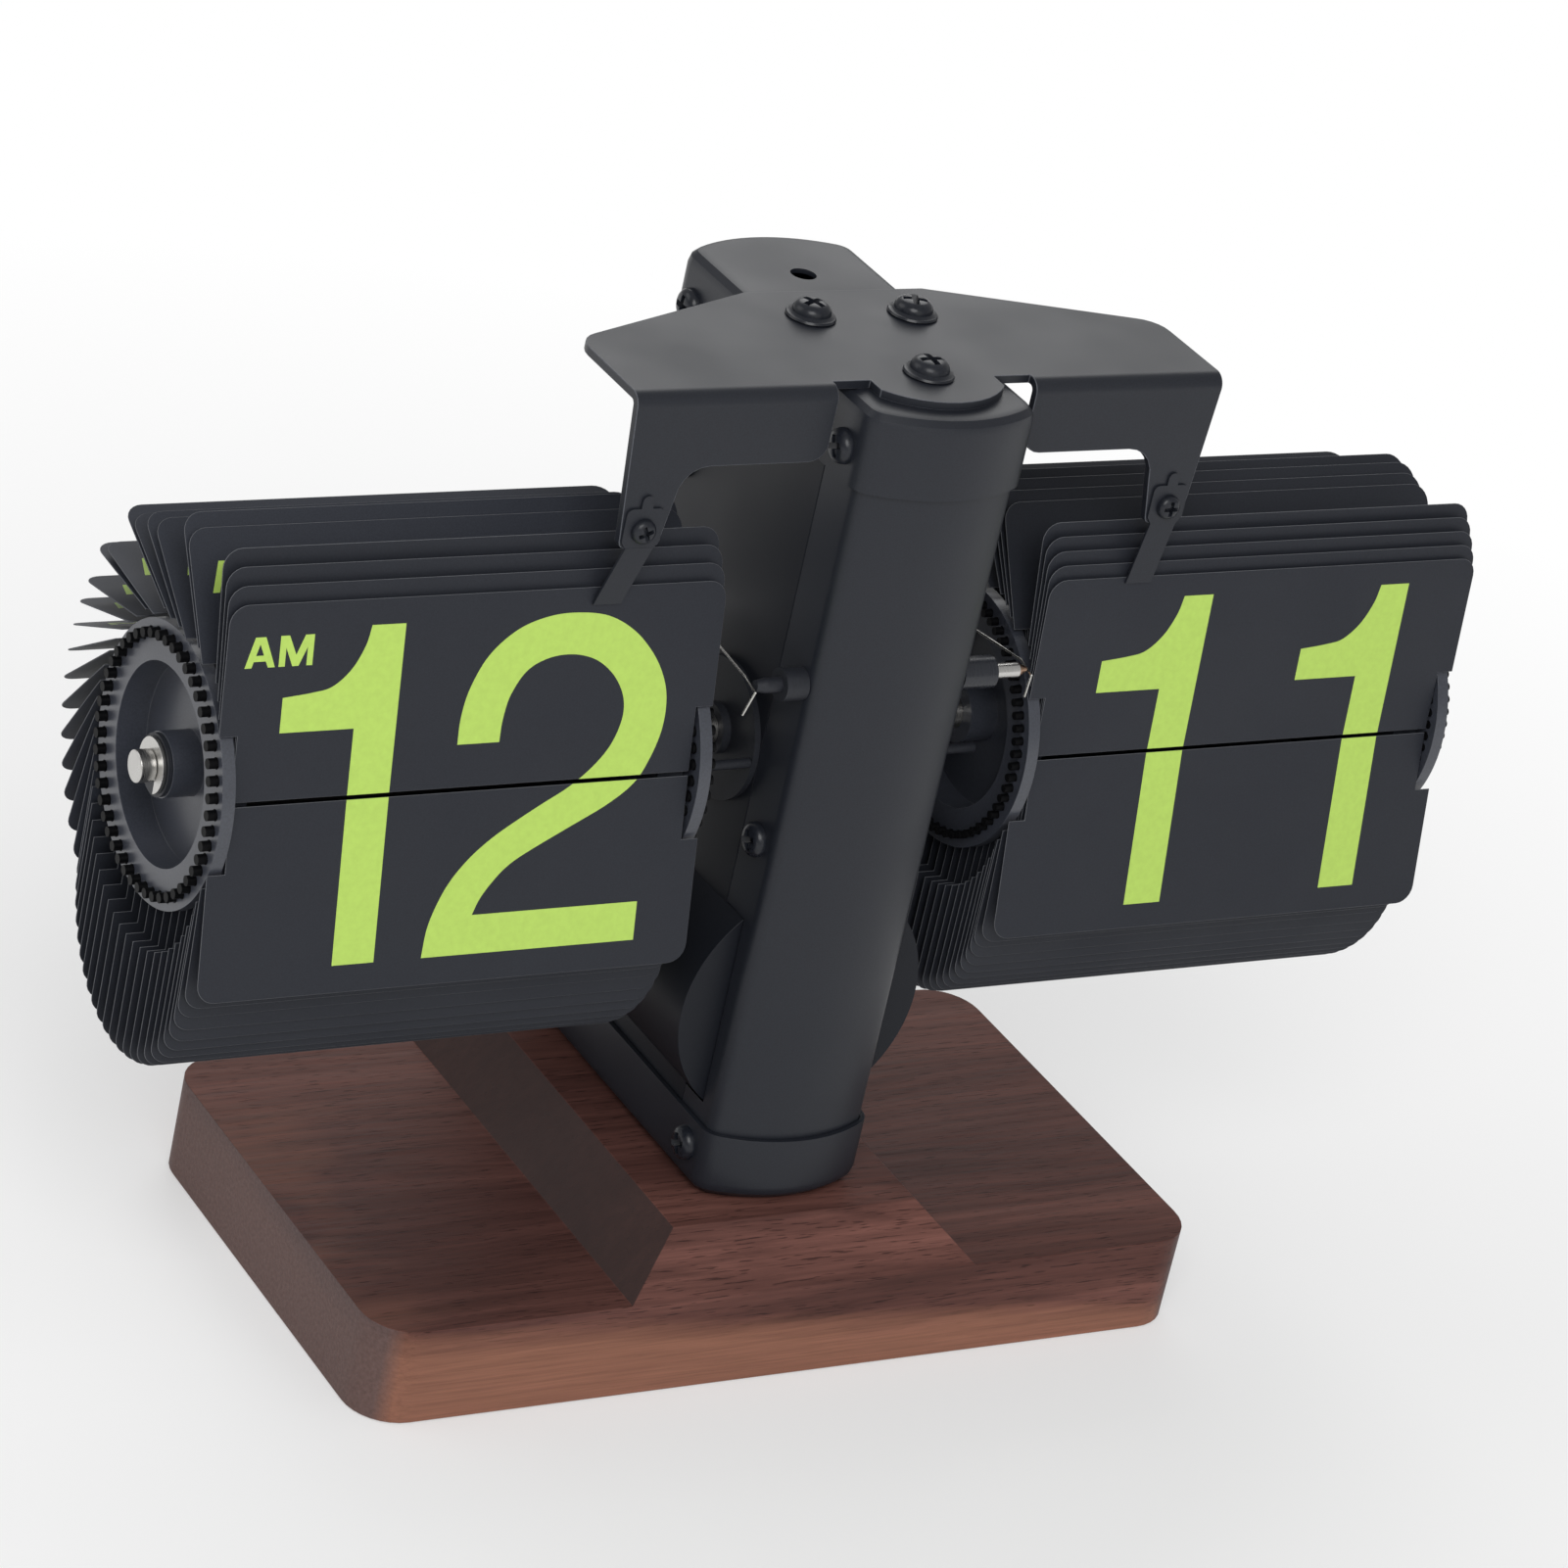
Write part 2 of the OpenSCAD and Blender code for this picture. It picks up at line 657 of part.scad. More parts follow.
// The flange of the right half, with its arm
module bridge_flange() {
  low = bridge_top - min(flange_h, arm_drop / 2);
  round_r = min(3, (bridge_top - bridge_fold_r - low) / 2);
  inside_r = min(5, (low - arm_end_z) / 2);
  arm_in = arm_mid - arm_w / 2;
  arm_out = arm_mid + arm_w / 2;
  inside_x = arm_in - 1.2;
  translate([0, -bridge_front + bridge_t, 0]) rotate([90, 0, 0]) linear_extrude(bridge_t)
    polygon(concat(
      [[bridge_half, bridge_top - bridge_fold_r], [flange_inner, bridge_top - bridge_fold_r]],
      arc([flange_inner + round_r, low + round_r], round_r, 180, 270, 5),
      arc([inside_x - inside_r, low - inside_r], inside_r, 90, 0, 5),
      arc([arm_in + 1, arm_end_z + 1], 1, 180, 270, 3),
      arc([arm_out - 1, arm_end_z + 1], 1, 270, 360, 3)));
}

module bracket_screws() {
  color(black) for (spot = bracket_screw_spots)
    translate([spot.x, spot.y, bridge_top])
      pan_screw(bracket_screw_d, bracket_head_d, 1.9, bridge_t + sheet_t + 2, 0.7);
}

// The spring finger that holds a display's upper flap: a head on the arm and a leaf down to the flap
module finger(reel) {
  head_w = arm_w - 0.4;
  head_top = arm_end_z + 2.2 * finger_screw_rise;
  head_r = 1;
  tab_r = 0.95;
  tab_h = 2.1;
  tip_z = arm_end_z - finger_reach;
  front = leaf_pin(reel, 0);
  lean = leaf_lean(reel, 0);
  flap_face = front.x + (tip_z - front.y) * tan(lean) - flap_t / 2 / cos(lean);
  root_y = -bridge_front - finger_t / 2;
  tip_y = flap_face - finger_gap - finger_t / 2;
  tilt = atan2(tip_y - root_y, finger_reach);
  leaf_l = finger_reach / cos(tilt);
  color(black) difference() {
    union() {
      translate([reel * arm_mid, -bridge_front, 0]) rotate([90, 0, 0]) linear_extrude(finger_t)
        polygon(concat(
          [[-finger_w / 2, arm_end_z], [finger_w / 2, arm_end_z], [head_w / 2, arm_end_z + 1.2]],
          arc([head_w / 2 - head_r, head_top - head_r], head_r, 0, 90, 3),
          [[tab_r, head_top]],
          arc([0, head_top + tab_h - tab_r], tab_r, 0, 180, 8),
          [[-tab_r, head_top]],
          arc([head_r - head_w / 2, head_top - head_r], head_r, 90, 180, 3),
          [[-head_w / 2, arm_end_z + 1.2]]));
      translate([reel * arm_mid, root_y, arm_end_z]) rotate([tilt, 0, 0])
        translate([0, finger_t / 2, 0]) rotate([90, 0, 0]) linear_extrude(finger_t)
          polygon([[-finger_w / 2, 0.2], [finger_w / 2, 0.2],
                   [finger_w / 2 - finger_skew, -leaf_l], [-finger_w / 2 - finger_skew, -leaf_l]]);
    }
    translate([reel * arm_mid, 0, arm_end_z + finger_screw_rise])
      rod_y(-bridge_front - finger_t - 1, -bridge_front + 1, small_screw_d / 2 + hole_clear);
  }
}

module hour_finger() {
  finger(HOUR);
}

module minute_finger() {
  finger(MINUTE);
}

module finger_screws() {
  color(black) for (side = [LEFT, RIGHT])
    translate([side * arm_mid, -bridge_front - finger_t, arm_end_z + finger_screw_rise])
      rotate([90, 0, 0]) pan_screw(small_screw_d, small_head_d, 1.3, finger_t + bridge_t + 1);
}

// Flaps of a reel. Angles run from the rear over the top to the front; a lean runs from
// upright towards the rear, so a flap that hangs straight down leans by 180 degrees.

function flap_count(reel) = reel == HOUR ? hour_flaps : minute_flaps;
function stack_count(reel) = reel == HOUR ? hour_stack : minute_stack;
function slit_angle(reel) = reel == HOUR ? hour_slit_angle : minute_slit_angle;
function front_lean(reel) = reel == HOUR ? hour_front_lean : minute_front_lean;
function pitch(reel) = 360 / flap_count(reel);
function pin_step(reel) = 2 * pin_ring_r * sin(pitch(reel) / 2);
function leaf_tail(reel) = (pin_step(reel) - display_slit) / 2;
function pin_r(reel) = pin_share * pin_step(reel) / 2;

// How far a flap that lies on its neighbour stands off the line between their two pins
function rest_angle(reel) = asin((flap_t + flap_gap) / pin_step(reel));
function pin_angle(reel, k) = slit_angle(reel) - pitch(reel) * (k + 0.5);

// Place of a flap's hinge line in the side view
function leaf_pin(reel, k) =
  [axis_y, axis_z] + pin_ring_r * [cos(pin_angle(reel, k)), sin(pin_angle(reel, k))];

// How far the first flaps behind each stack stand off their neighbours, in degrees
hour_fan = [4.4, 10.9, 0, 3.1, 3.6, 10.1, 0, 4.9];
minute_fan = [0, 3, 7, 9.2, 2, 2, 3.5, 8.5];

function fan_lift(reel, k) =
  let (fan = reel == HOUR ? hour_fan : minute_fan, place = k - stack_count(reel))
  place < len(fan) ? fan_cling * fan[place] : 0;

function leaf_lean(reel, k) =
  let (a = pin_angle(reel, k), half = pitch(reel) / 2, rest = rest_angle(reel))
  k < stack_count(reel) ? front_lean(reel) + stack_step * k
  : a > -90 ? min(180, 180 - a + half - rest - fan_lift(reel, k))
  : max(180, -a - half + rest);

function leaf_outline(reel) =
  let (top = flap_reach - flap_corner_r, side = flap_w / 2, hinge = side - notch_depth)
  concat([[hinge, -leaf_tail(reel)], [hinge, notch_reach], [side, notch_reach]],
         arc([side - flap_corner_r, top], flap_corner_r, 0, 90, 6),
         arc([flap_corner_r - side, top], flap_corner_r, 90, 180, 6),
         [[-side, notch_reach], [-hinge, notch_reach], [-hinge, -leaf_tail(reel)]]);

module leaf(reel, k) {
  pin = leaf_pin(reel, k);
  translate([reel * (reel_inner + flap_w / 2), pin.x, pin.y])
    rotate([90 - leaf_lean(reel, k), 0, 0])
      translate([0, 0, -flap_t / 2]) linear_extrude(flap_t) polygon(leaf_outline(reel));
}

// The flaps from one count to another, each a sheet of its own
module leaves(reel, first, last) {
  color(charcoal) for (k = [first:last]) leaf(reel, k);
}

// The first flap past the top of the reel that hangs straight down
function first_hanging(reel) = ceil((slit_angle(reel) + 14) / pitch(reel));

module hour_front_flap() {
  leaves(HOUR, 0, 0);
}

module hour_upper_flaps() {
  leaves(HOUR, 1, hour_stack - 1);
}

module hour_rear_flaps() {
  leaves(HOUR, hour_stack, first_hanging(HOUR) - 1);
}

module hour_lower_flaps() {
  leaves(HOUR, first_hanging(HOUR), hour_flaps - 1);
}

module minute_front_flap() {
  leaves(MINUTE, 0, 0);
}

module minute_upper_flaps() {
  leaves(MINUTE, 1, minute_stack - 1);
}

module minute_rear_flaps() {
  leaves(MINUTE, minute_stack, first_hanging(MINUTE) - 1);
}

module minute_lower_flaps() {
  leaves(MINUTE, first_hanging(MINUTE), minute_flaps - 1);
}

// Drum of a reel

// One moulded disc: a rim with a hole for each flap pin, a recessed cup and a hub
module reel_disc(reel, face, out) {
  rim_in = face - out * disc_t;
  floor_out = face - out * recess_depth;
  floor_in = floor_out - out * cup_t;
  color(charcoal) translate([0, axis_y, axis_z]) difference() {
    union() {
      difference() {
        union() {
          rod_x(reel * face, reel * rim_in, disc_r);
          rod_x(reel * face, reel * floor_in, recess_r + cup_t);
        }
        rod_x(reel * (face + out), reel * floor_out, recess_r);
      }
      rod_x(reel * floor_out, reel * face, hub_r);
    }
    rod_x(reel * (face + out), reel * (floor_in - out), shaft_r + run_clear);
    for (k = [0:flap_count(reel) - 1])
      rotate([pin_angle(reel, k), 0, 0]) translate([0, pin_ring_r, 0])
        rod_x(reel * (face + out), reel * (rim_in - out), pin_r(reel) + pin_clear);
  }
}

// The hinge ends of the flaps in the two discs, which travel with the drum
module flap_pins(reel) {
  hinge_in = reel_inner + notch_depth - pin_tip_gap;
  hinge_out = reel_outer - notch_depth + pin_tip_gap;
  color(charcoal) translate([0, axis_y, axis_z])
    for (k = [0:flap_count(reel) - 1]) rotate([pin_angle(reel, k), 0, 0]) translate([0, pin_ring_r, 0]) {
      rod_x(reel * (disc_inner_face - pin_out), reel * hinge_in, pin_r(reel));
      rod_x(reel * hinge_out, reel * (disc_outer_face + pin_out), pin_r(reel));
    }
}

module drum_core(reel) {
  depth = recess_depth + cup_t;
  color(charcoal) translate([0, axis_y, axis_z]) difference() {
    rod_x(reel * (disc_inner_face + depth), reel * (disc_outer_face - depth), core_r);
    rod_x(reel * disc_inner_face, reel * disc_outer_face, shaft_r + run_clear);
  }
}

clip_x = disc_outer_face + end_gap + washer_t + end_gap;

module reel_shaft(reel) {
  color(steel) translate([0, axis_y, axis_z]) difference() {
    rod_x(reel * end_gap, reel * shaft_end, shaft_r);
    difference() {
      rod_x(reel * (clip_x - run_clear), reel * (clip_x + clip_t + run_clear), shaft_r + 1);
      rod_x(reel * (clip_x - 1), reel * (clip_x + clip_t + 1), shaft_r - groove_depth);
    }
  }
}

module end_washer(reel) {
  color(black) translate([0, axis_y, axis_z]) difference() {
    rod_x(reel * (disc_outer_face + end_gap), reel * (disc_outer_face + end_gap + washer_t), hub_r - 0.2);
    rod_x(reel * disc_inner_face, reel * shaft_end, shaft_r + run_clear);
  }
}

// A spring clip in the shaft's groove, open at one side
module end_clip(reel) {
  color(steel) translate([0, axis_y, axis_z]) difference() {
    rod_x(reel * clip_x, reel * (clip_x + clip_t), shaft_r + clip_reach);
    rod_x(reel * disc_inner_face, reel * shaft_end, shaft_r - groove_depth + run_clear);
    translate([reel * clip_x, 0, -shaft_r - 1]) cube([4, shaft_d * 0.8, shaft_d], center = true);
  }
}

module hour_shaft() {
  reel_shaft(HOUR);
}

module hour_outer_disc() {
  reel_disc(HOUR, disc_outer_face, 1);
}

module hour_inner_disc() {
  reel_disc(HOUR, disc_inner_face, -1);
}

module hour_drum_core() {
  drum_core(HOUR);
}

module hour_end_washer() {
  end_washer(HOUR);
}

module hour_end_clip() {
  end_clip(HOUR);
}

module hour_flap_pins() {
  flap_pins(HOUR);
}

module minute_shaft() {
  reel_shaft(MINUTE);
}

module minute_outer_disc() {
  reel_disc(MINUTE, disc_outer_face, 1);
}

module minute_inner_disc() {
  reel_disc(MINUTE, disc_inner_face, -1);
}

module minute_drum_core() {
  drum_core(MINUTE);
}

module minute_end_washer() {
  end_washer(MINUTE);
}

module minute_end_clip() {
  end_clip(MINUTE);
}

module minute_flap_pins() {
  flap_pins(MINUTE);
}

// Movement

bush_r = shaft_r + 1.6;
guide_r = 0.8;
guide_edge = 0.15;
guide_drop = 0.6;
guide_end = reel_inner - 2.4;

// A bush with its round plate on the column's side, and a guide pin near the plate's front edge
module shaft_bush(side) {
  guide_ahead = bush_plate_d / 2 - guide_r - guide_edge;
  color(charcoal) translate([0, axis_y, axis_z]) difference() {
    union() {
      rod_x(side * (inner_half - 1.2), side * (half_w + 2.4), bush_r);
      rod_x(side * half_w, side * (half_w + bush_plate_t), bush_plate_d / 2);
      translate([0, -guide_ahead, -guide_drop])
        rod_x(side * (half_w + bush_plate_t / 2), side * guide_end, guide_r);
    }
    rod_x(0, side * (half_w + 3), shaft_r + run_clear);
  }
}

module hour_bush() {
  shaft_bush(LEFT);
}

module minute_bush() {
  shaft_bush(RIGHT);
}

// The middle plate: it carries the shafts' inner ends, the lay shaft and the motor
module gear_plate() {
  color(brass) difference() {
    union() {
      translate([-plate_t / 2, plate_front, plate_low])
        cube([plate_t, plate_rear - plate_front, plate_high - plate_low]);
      translate([-plate_t / 2, plate_rear - 1, plate_high - plate_arm_h])
        cube([plate_t, plate_arm_l, plate_arm_h]);
    }
    translate([0, axis_y, axis_z]) rod_x(-plate_t, plate_t, shaft_r + run_clear);
    translate([0, axis_y, lay_z]) rod_x(-plate_t, plate_t, lay_d / 2 + run_clear);
    for (rise = ear_rises) translate([0, ear_y, axis_z + rise])
      rod_x(-plate_t, plate_t, small_screw_d / 2 + hole_clear);
  }
}

// Turned pillars between the middle plate and the two sides, tapped for the frame screws
module plate_pillars() {
  color(steel) for (side = [LEFT, RIGHT], spot = pillar_spots)
    translate([0, spot.x, spot.y]) difference() {
      rod_x(side * plate_t / 2, side * inner_half, pillar_r);
      rod_x(side * (inner_half - 4), side * (inner_half + 1), side_screw_d / 2 + hole_clear);
    }
}

// Outline of a spur gear: four corners to a tooth, the first tooth about the angle given
function gear_outline(teeth, size, turn) =
  let (pitch_r = teeth * size / 2, step = 360 / teeth)
  [for (i = [0:teeth - 1], corner = [[-0.29, -1.15], [-0.1, 0.85], [0.1, 0.85], [0.29, -1.15]])
    let (a = turn + step * (i + corner.x), r = pitch_r + size * corner.y)
    r * [cos(a), sin(a)]];

module gear(x, y, z, teeth, size, turn, bore_r) {
  translate([x, y, z]) rotate([90, 0, 90]) linear_extrude(gear_w) difference() {
    polygon(gear_outline(teeth, size, turn));
    circle(bore_r);
  }
}

module hour_wheel() {
  color(brass) gear(-gear_gap - gear_w, axis_y, axis_z, hour_teeth, hour_module, 90 + 180 / hour_teeth,
                    shaft_r + run_clear);
}

module minute_pinion() {
  color(brass) gear(gear_gap, axis_y, axis_z, pinion_teeth, minute_module, 90, shaft_r + run_clear);
}

module minute_wheel() {
  color(brass) gear(wheel_gap, axis_y, axis_z, wheel_teeth, minute_module, 180 / wheel_teeth,
                    shaft_r + run_clear);
}

module lay_shaft() {
  reach = inner_half - 0.4;
  color(steel) translate([0, axis_y, lay_z]) rod_x(-reach, reach, lay_d / 2);
}

module lay_wheel() {
  color(brass) gear(gear_gap, axis_y, lay_z, wheel_teeth, minute_module, -90 + 180 / wheel_teeth,
                    lay_d / 2 + run_clear);
}

module lay_pinion() {
  color(brass) gear(-gear_gap - gear_w, axis_y, lay_z, pinion_teeth, hour_module, -90,
                    lay_d / 2 + run_clear);
}

motor_right = wheel_gap - 0.8;
motor_front = motor_y - 2;

// The geared motor with its two ears on the middle plate
module motor_case() {
  ear_h = 6;
  color(charcoal) difference() {
    union() {
      translate([-inner_half + 1.2, motor_front, axis_z - motor_h / 2])
        cube([motor_right + inner_half - 1.2, motor_l, motor_h]);
      for (rise = ear_rises) translate([plate_t / 2, ear_y - 3, axis_z + rise - ear_h / 2])
        cube([ear_t, motor_front - ear_y + 4, ear_h]);
    }
    translate([0, motor_y, axis_z])
      rod_x(-inner_half + 4, motor_right + 1, motor_shaft_d / 2 + run_clear);
    for (rise = ear_rises) translate([0, ear_y, axis_z + rise])
      rod_x(0, plate_t / 2 + ear_t + 1, small_screw_d / 2 + hole_clear);
  }
}

// The driving pinion in one piece with its shaft
module motor_pinion() {
  color(steel) union() {
    gear(wheel_gap, motor_y, axis_z, pinion_teeth, minute_module, 180, motor_shaft_d / 2 - 0.3);
    translate([0, motor_y, axis_z]) rod_x(-inner_half + 5, wheel_gap + gear_w + 0.6, motor_shaft_d / 2);
  }
}

module motor_screws() {
  color(steel) for (rise = ear_rises) translate([plate_t / 2 + ear_t, ear_y, axis_z + rise])
    rotate([0, 90, 0]) pan_screw(small_screw_d, small_head_d, 1.1, ear_t + plate_t);
}

post_y = axis_y - 18.2;
post_z = axis_z + 17.4;
post_r = 2.6;
post_pin_d = 2.4;
post_tip_l = 1.7;

// Per reel: length of the post's collar, end of its pin and radius of the pin's point
function post_collar(reel) = reel == HOUR ? 3.9 : 6;
function post_end(reel) = reel == HOUR ? half_w + 8.2 : reel_inner - 1.8;
function post_point(reel) = reel == HOUR ? 0.9 : 0.4;

// The post beside a reel: a collar on the column's side and a pin with a pointed end towards the flaps
module spring_post(reel) {
  straight = post_end(reel) - post_tip_l;
  color(black) translate([0, post_y, post_z]) union() {
    rod_x(reel * half_w, reel * (half_w + post_collar(reel)), post_r);
    rod_x(reel * (half_w - sheet_t - 0.6), reel * straight, post_pin_d / 2);
    translate([reel * straight, 0, 0]) rotate([0, reel * 90, 0])
      cylinder(r1 = post_pin_d / 2, r2 = post_point(reel), h = post_tip_l);
  }
}

module hour_spring_post() {
  spring_post(HOUR);
}

module minute_spring_post() {
  spring_post(MINUTE);
}

bend_swell = 1.12;

// A bent wire along its corner points, a little thicker at its bends
module wire(points) {
  for (i = [0:len(points) - 2]) {
    run = points[i + 1] - points[i];
    flat = norm([run.x, run.y]);
    translate(points[i]) {
      rotate([0, atan2(flat, run.z), atan2(run.y, run.x)]) cylinder(d = wire_d, h = norm(run));
      if (i > 0) sphere(d = wire_d * bend_swell);
    }
  }
}

// A click spring across the post's tip, with a long leg back past the reel's pins and a short one down
module click_spring(reel) {
  tip_x = post_end(reel) + wire_d / 2 + 0.25;
  bends = [[-1.6, 13.9, -0.2], [0, 2.4, 0.4], [0, -1.2, -0.5], [0.6, 0, -4.9]];
  color(steel) wire([for (bend = bends) [reel * (tip_x + bend.x), post_y + bend.y, post_z + bend.z]]);
}

module hour_click_spring() {
  click_spring(HOUR);
}

module minute_click_spring() {
  click_spring(MINUTE);
}

// Battery

module battery_tube() {
  color(charcoal) translate([0, 0, tube_z]) difference() {
    rod_y(tube_front_y, cap_face_y, tube_outer_r);
    rod_y(tube_front_y + tube_floor_t, cap_face_y + 1, tube_inner_r);
  }
}

module battery_cell() {
  color("#8a8d92") translate([0, 0, tube_z]) union() {
    rod_y(cell_front_y + cell_button_h, cell_rear_y, cell_d / 2);
    rod_y(cell_front_y, cell_front_y + cell_button_h + 0.1, cell_button_r);
  }
}

// A contact plate at each end of the cell, with a dome that presses on it
module battery_contacts() {
  front = tube_front_y + tube_floor_t;
  dome_r = 3.5;
  color(brass) translate([0, 0, tube_z]) {
    rod_y(front, front + contact_t, cell_d / 3);
    rod_y(front + contact_t, cell_front_y - 0.1, dome_r);
    rod_y(cell_rear_y + contact_room - contact_t, cell_rear_y + contact_room, cell_d / 3);
    rod_y(cell_rear_y + 0.1, cell_rear_y + contact_room - contact_t, dome_r);
  }
}

// The turning cap that closes the tube, with a coin slot
module battery_cap() {
  slot_l = 22;
  slot_w = 2.4;
  slot_depth = 1.4;
  seat = cap_face_y - plug_l;
  color(black) translate([0, 0, tube_z]) difference() {
    union() {
      rod_y(cap_face_y + battery_cap_gap, cap_face_y + battery_cap_gap + battery_cap_t, bulge_r - 0.2);
      rod_y(seat, cap_face_y + battery_cap_gap + 0.1, tube_inner_r - battery_cap_gap);
    }
    translate([-slot_l / 2, cap_face_y + battery_cap_gap + battery_cap_t - slot_depth, -slot_w / 2])
      cube([slot_l, slot_depth + 1, slot_w]);
  }
}

wood_base();
base_pads();
base_screws();
bottom_tray();
front_cover();
rear_cover();
left_side_plate();
right_side_plate();
top_cap();
cap_screws();
tray_screws();
frame_screws();
bridge_bracket();
bracket_screws();
hour_finger();
minute_finger();
finger_screws();
gear_plate();
plate_pillars();
hour_bush();
minute_bush();
hour_shaft();
hour_outer_disc();
hour_inner_disc();
hour_drum_core();
hour_end_washer();
hour_end_clip();
hour_flap_pins();
hour_wheel();
hour_front_flap();
hour_upper_flaps();
hour_rear_flaps();
hour_lower_flaps();
minute_shaft();
minute_outer_disc();
minute_inner_disc();
minute_drum_core();
minute_end_washer();
minute_end_clip();
minute_flap_pins();
minute_pinion();
minute_wheel();
minute_front_flap();
minute_upper_flaps();
minute_rear_flaps();
minute_lower_flaps();
lay_shaft();
lay_wheel();
lay_pinion();
motor_case();
motor_pinion();
motor_screws();
hour_spring_post();
minute_spring_post();
hour_click_spring();
minute_click_spring();
battery_tube();
battery_cell();
battery_contacts();
battery_cap();
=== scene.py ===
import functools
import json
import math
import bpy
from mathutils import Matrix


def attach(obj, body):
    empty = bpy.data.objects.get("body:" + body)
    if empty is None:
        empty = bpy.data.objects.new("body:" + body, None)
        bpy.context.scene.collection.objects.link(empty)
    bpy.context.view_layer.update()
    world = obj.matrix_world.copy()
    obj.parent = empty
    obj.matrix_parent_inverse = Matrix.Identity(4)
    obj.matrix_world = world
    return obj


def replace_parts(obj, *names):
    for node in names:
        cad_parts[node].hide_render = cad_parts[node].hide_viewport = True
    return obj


bl_info = {
    "name": "Desk Flip Clock",
    "version": (1, 0, 0),
    "blender": (4, 5, 0),
    "location": "View3D > Sidebar > Flip Clock",
    "description": "Finishes, numerals and screws for a desk flip clock with two flap reels",
    "category": "Object",
}

import bmesh
import bpy
import numpy as np
from bpy.props import FloatProperty, FloatVectorProperty, PointerProperty
from mathutils import Matrix, Vector
from mathutils.geometry import delaunay_2d_cdt

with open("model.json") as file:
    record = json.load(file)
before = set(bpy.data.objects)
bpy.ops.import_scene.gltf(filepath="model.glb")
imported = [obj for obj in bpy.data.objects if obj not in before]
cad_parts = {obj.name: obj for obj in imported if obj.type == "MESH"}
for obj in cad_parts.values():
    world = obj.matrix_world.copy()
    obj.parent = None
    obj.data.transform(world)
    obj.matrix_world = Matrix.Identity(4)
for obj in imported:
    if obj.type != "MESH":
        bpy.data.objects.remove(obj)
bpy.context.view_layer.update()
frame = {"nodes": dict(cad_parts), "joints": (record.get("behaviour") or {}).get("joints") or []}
NODES = frame["nodes"]
MM = 0.001
ROOT = "clock"
X_AXIS = Vector((1, 0, 0))
AXIS = next(joint["pos_m"] for joint in frame["joints"] if joint["name"] == "minute_drum_turn")


# Settings

def colour(name, description, default):
    """A colour setting."""
    return FloatVectorProperty(name=name, description=description, default=default, size=3,
                               min=0, max=1, subtype="COLOR")


def length(name, description, default):
    """A length setting in metres."""
    return FloatProperty(name=name, description=description, default=default, min=0,
                         subtype="DISTANCE", unit="LENGTH", precision=5)


def power(name, description, default):
    """A setting for a lamp's power."""
    return FloatProperty(name=name, description=description, default=default, min=0, subtype="POWER")


class FlipClockColours(bpy.types.PropertyGroup):
    """Colours of the clock's finishes."""
    walnut_dark: colour("Dark walnut", "Dark late wood in the base's grain", (0.036, 0.0145, 0.0135))
    walnut_light: colour("Light walnut", "Light early wood in the base's grain", (0.185, 0.082, 0.067))
    sapwood: colour("Pale walnut", "Pale streaks low on the base", (0.36, 0.165, 0.108))
    walnut_end: colour("End grain", "Sawn end grain of the base", (0.112, 0.078, 0.075))
    paint: colour("Paint", "Black paint on the sheet metal", (0.0145, 0.0166, 0.0228))
    # Painted shade: 0.7 of the sheet paint, for the side plates that the reels shade
    plate_paint_and_shade: colour("Plate paint", "Black paint on the side plates", (0.0102, 0.0116, 0.016))
    moulding: colour("Moulding", "Black moulded plastic of the discs and spools", (0.017, 0.0188, 0.0245))
    flap: colour("Flap", "Charcoal of the flaps", (0.0185, 0.0208, 0.028))
    # Painted highlight: the bright line along the flaps' edges stands for the light they catch
    flap_rim_highlight: colour("Flap edge", "Cut edges of the flaps", (0.105, 0.11, 0.122))
    ink: colour("Ink", "Lime print of the numerals", (0.475, 0.68, 0.135))
    # Painted highlight: the light line along the sheets' edges, where they catch the light
    sheet_edge_highlight: colour("Sheet rim", "Thin paint along the sheets' edges", (0.085, 0.09, 0.105))
    # Black pins, darkened further as painted shade so that their ends read as shaded holes
    pin_dark_shade: colour("Pins", "Gloss black of the flaps' hinge ends", (0.0025, 0.0026, 0.0032))
    copper: colour("Copper", "Copper tip of the minute reel's spring post", (0.4, 0.25, 0.17))


class FlipClockSizes(bpy.types.PropertyGroup):
    """Sizes of the details that the finishes add."""
    wood_ease: length("Wood edge", "Rounding of the base's edges", 0.0006)
    sheet_ease: length("Sheet edge", "Rounding of the painted sheets' edges", 0.00025)
    moulding_ease: length("Moulding edge", "Rounding of the mouldings' edges", 0.00022)
    # The bright line is a painted highlight
    flap_ease: length("Flap edge", "Width of the bright line along a flap's edge", 0.00006)
    ink_lift: length("Ink height", "Height of the print above its flap, and its depth in it", 0.000012)
    slit: length("Slit", "Slit between the two halves of a display", 0.0007)
    hour_one: length("Hour digit 1", "Left edge of the hour's first digit on its flap", 0.0096)
    hour_two: length("Hour digit 2", "Left edge of the hour's second digit on its flap", 0.0364)
    minute_one: length("Minute digit 1", "Left edge of the minute's first digit on its flap", 0.0123)
    minute_two: length("Minute digit 2", "Left edge of a narrow second digit on the minute's flap", 0.0505)
    minute_wide: length("Wide minute digit 2", "Left edge of a wide second digit on the minute's flap", 0.0405)
    post_steel: length("Post's steel", "Distance from the middle to the bare steel of a spring post", 0.0202)
    post_copper: length("Post's tip", "Distance from the middle to the copper tip of a spring post", 0.0249)


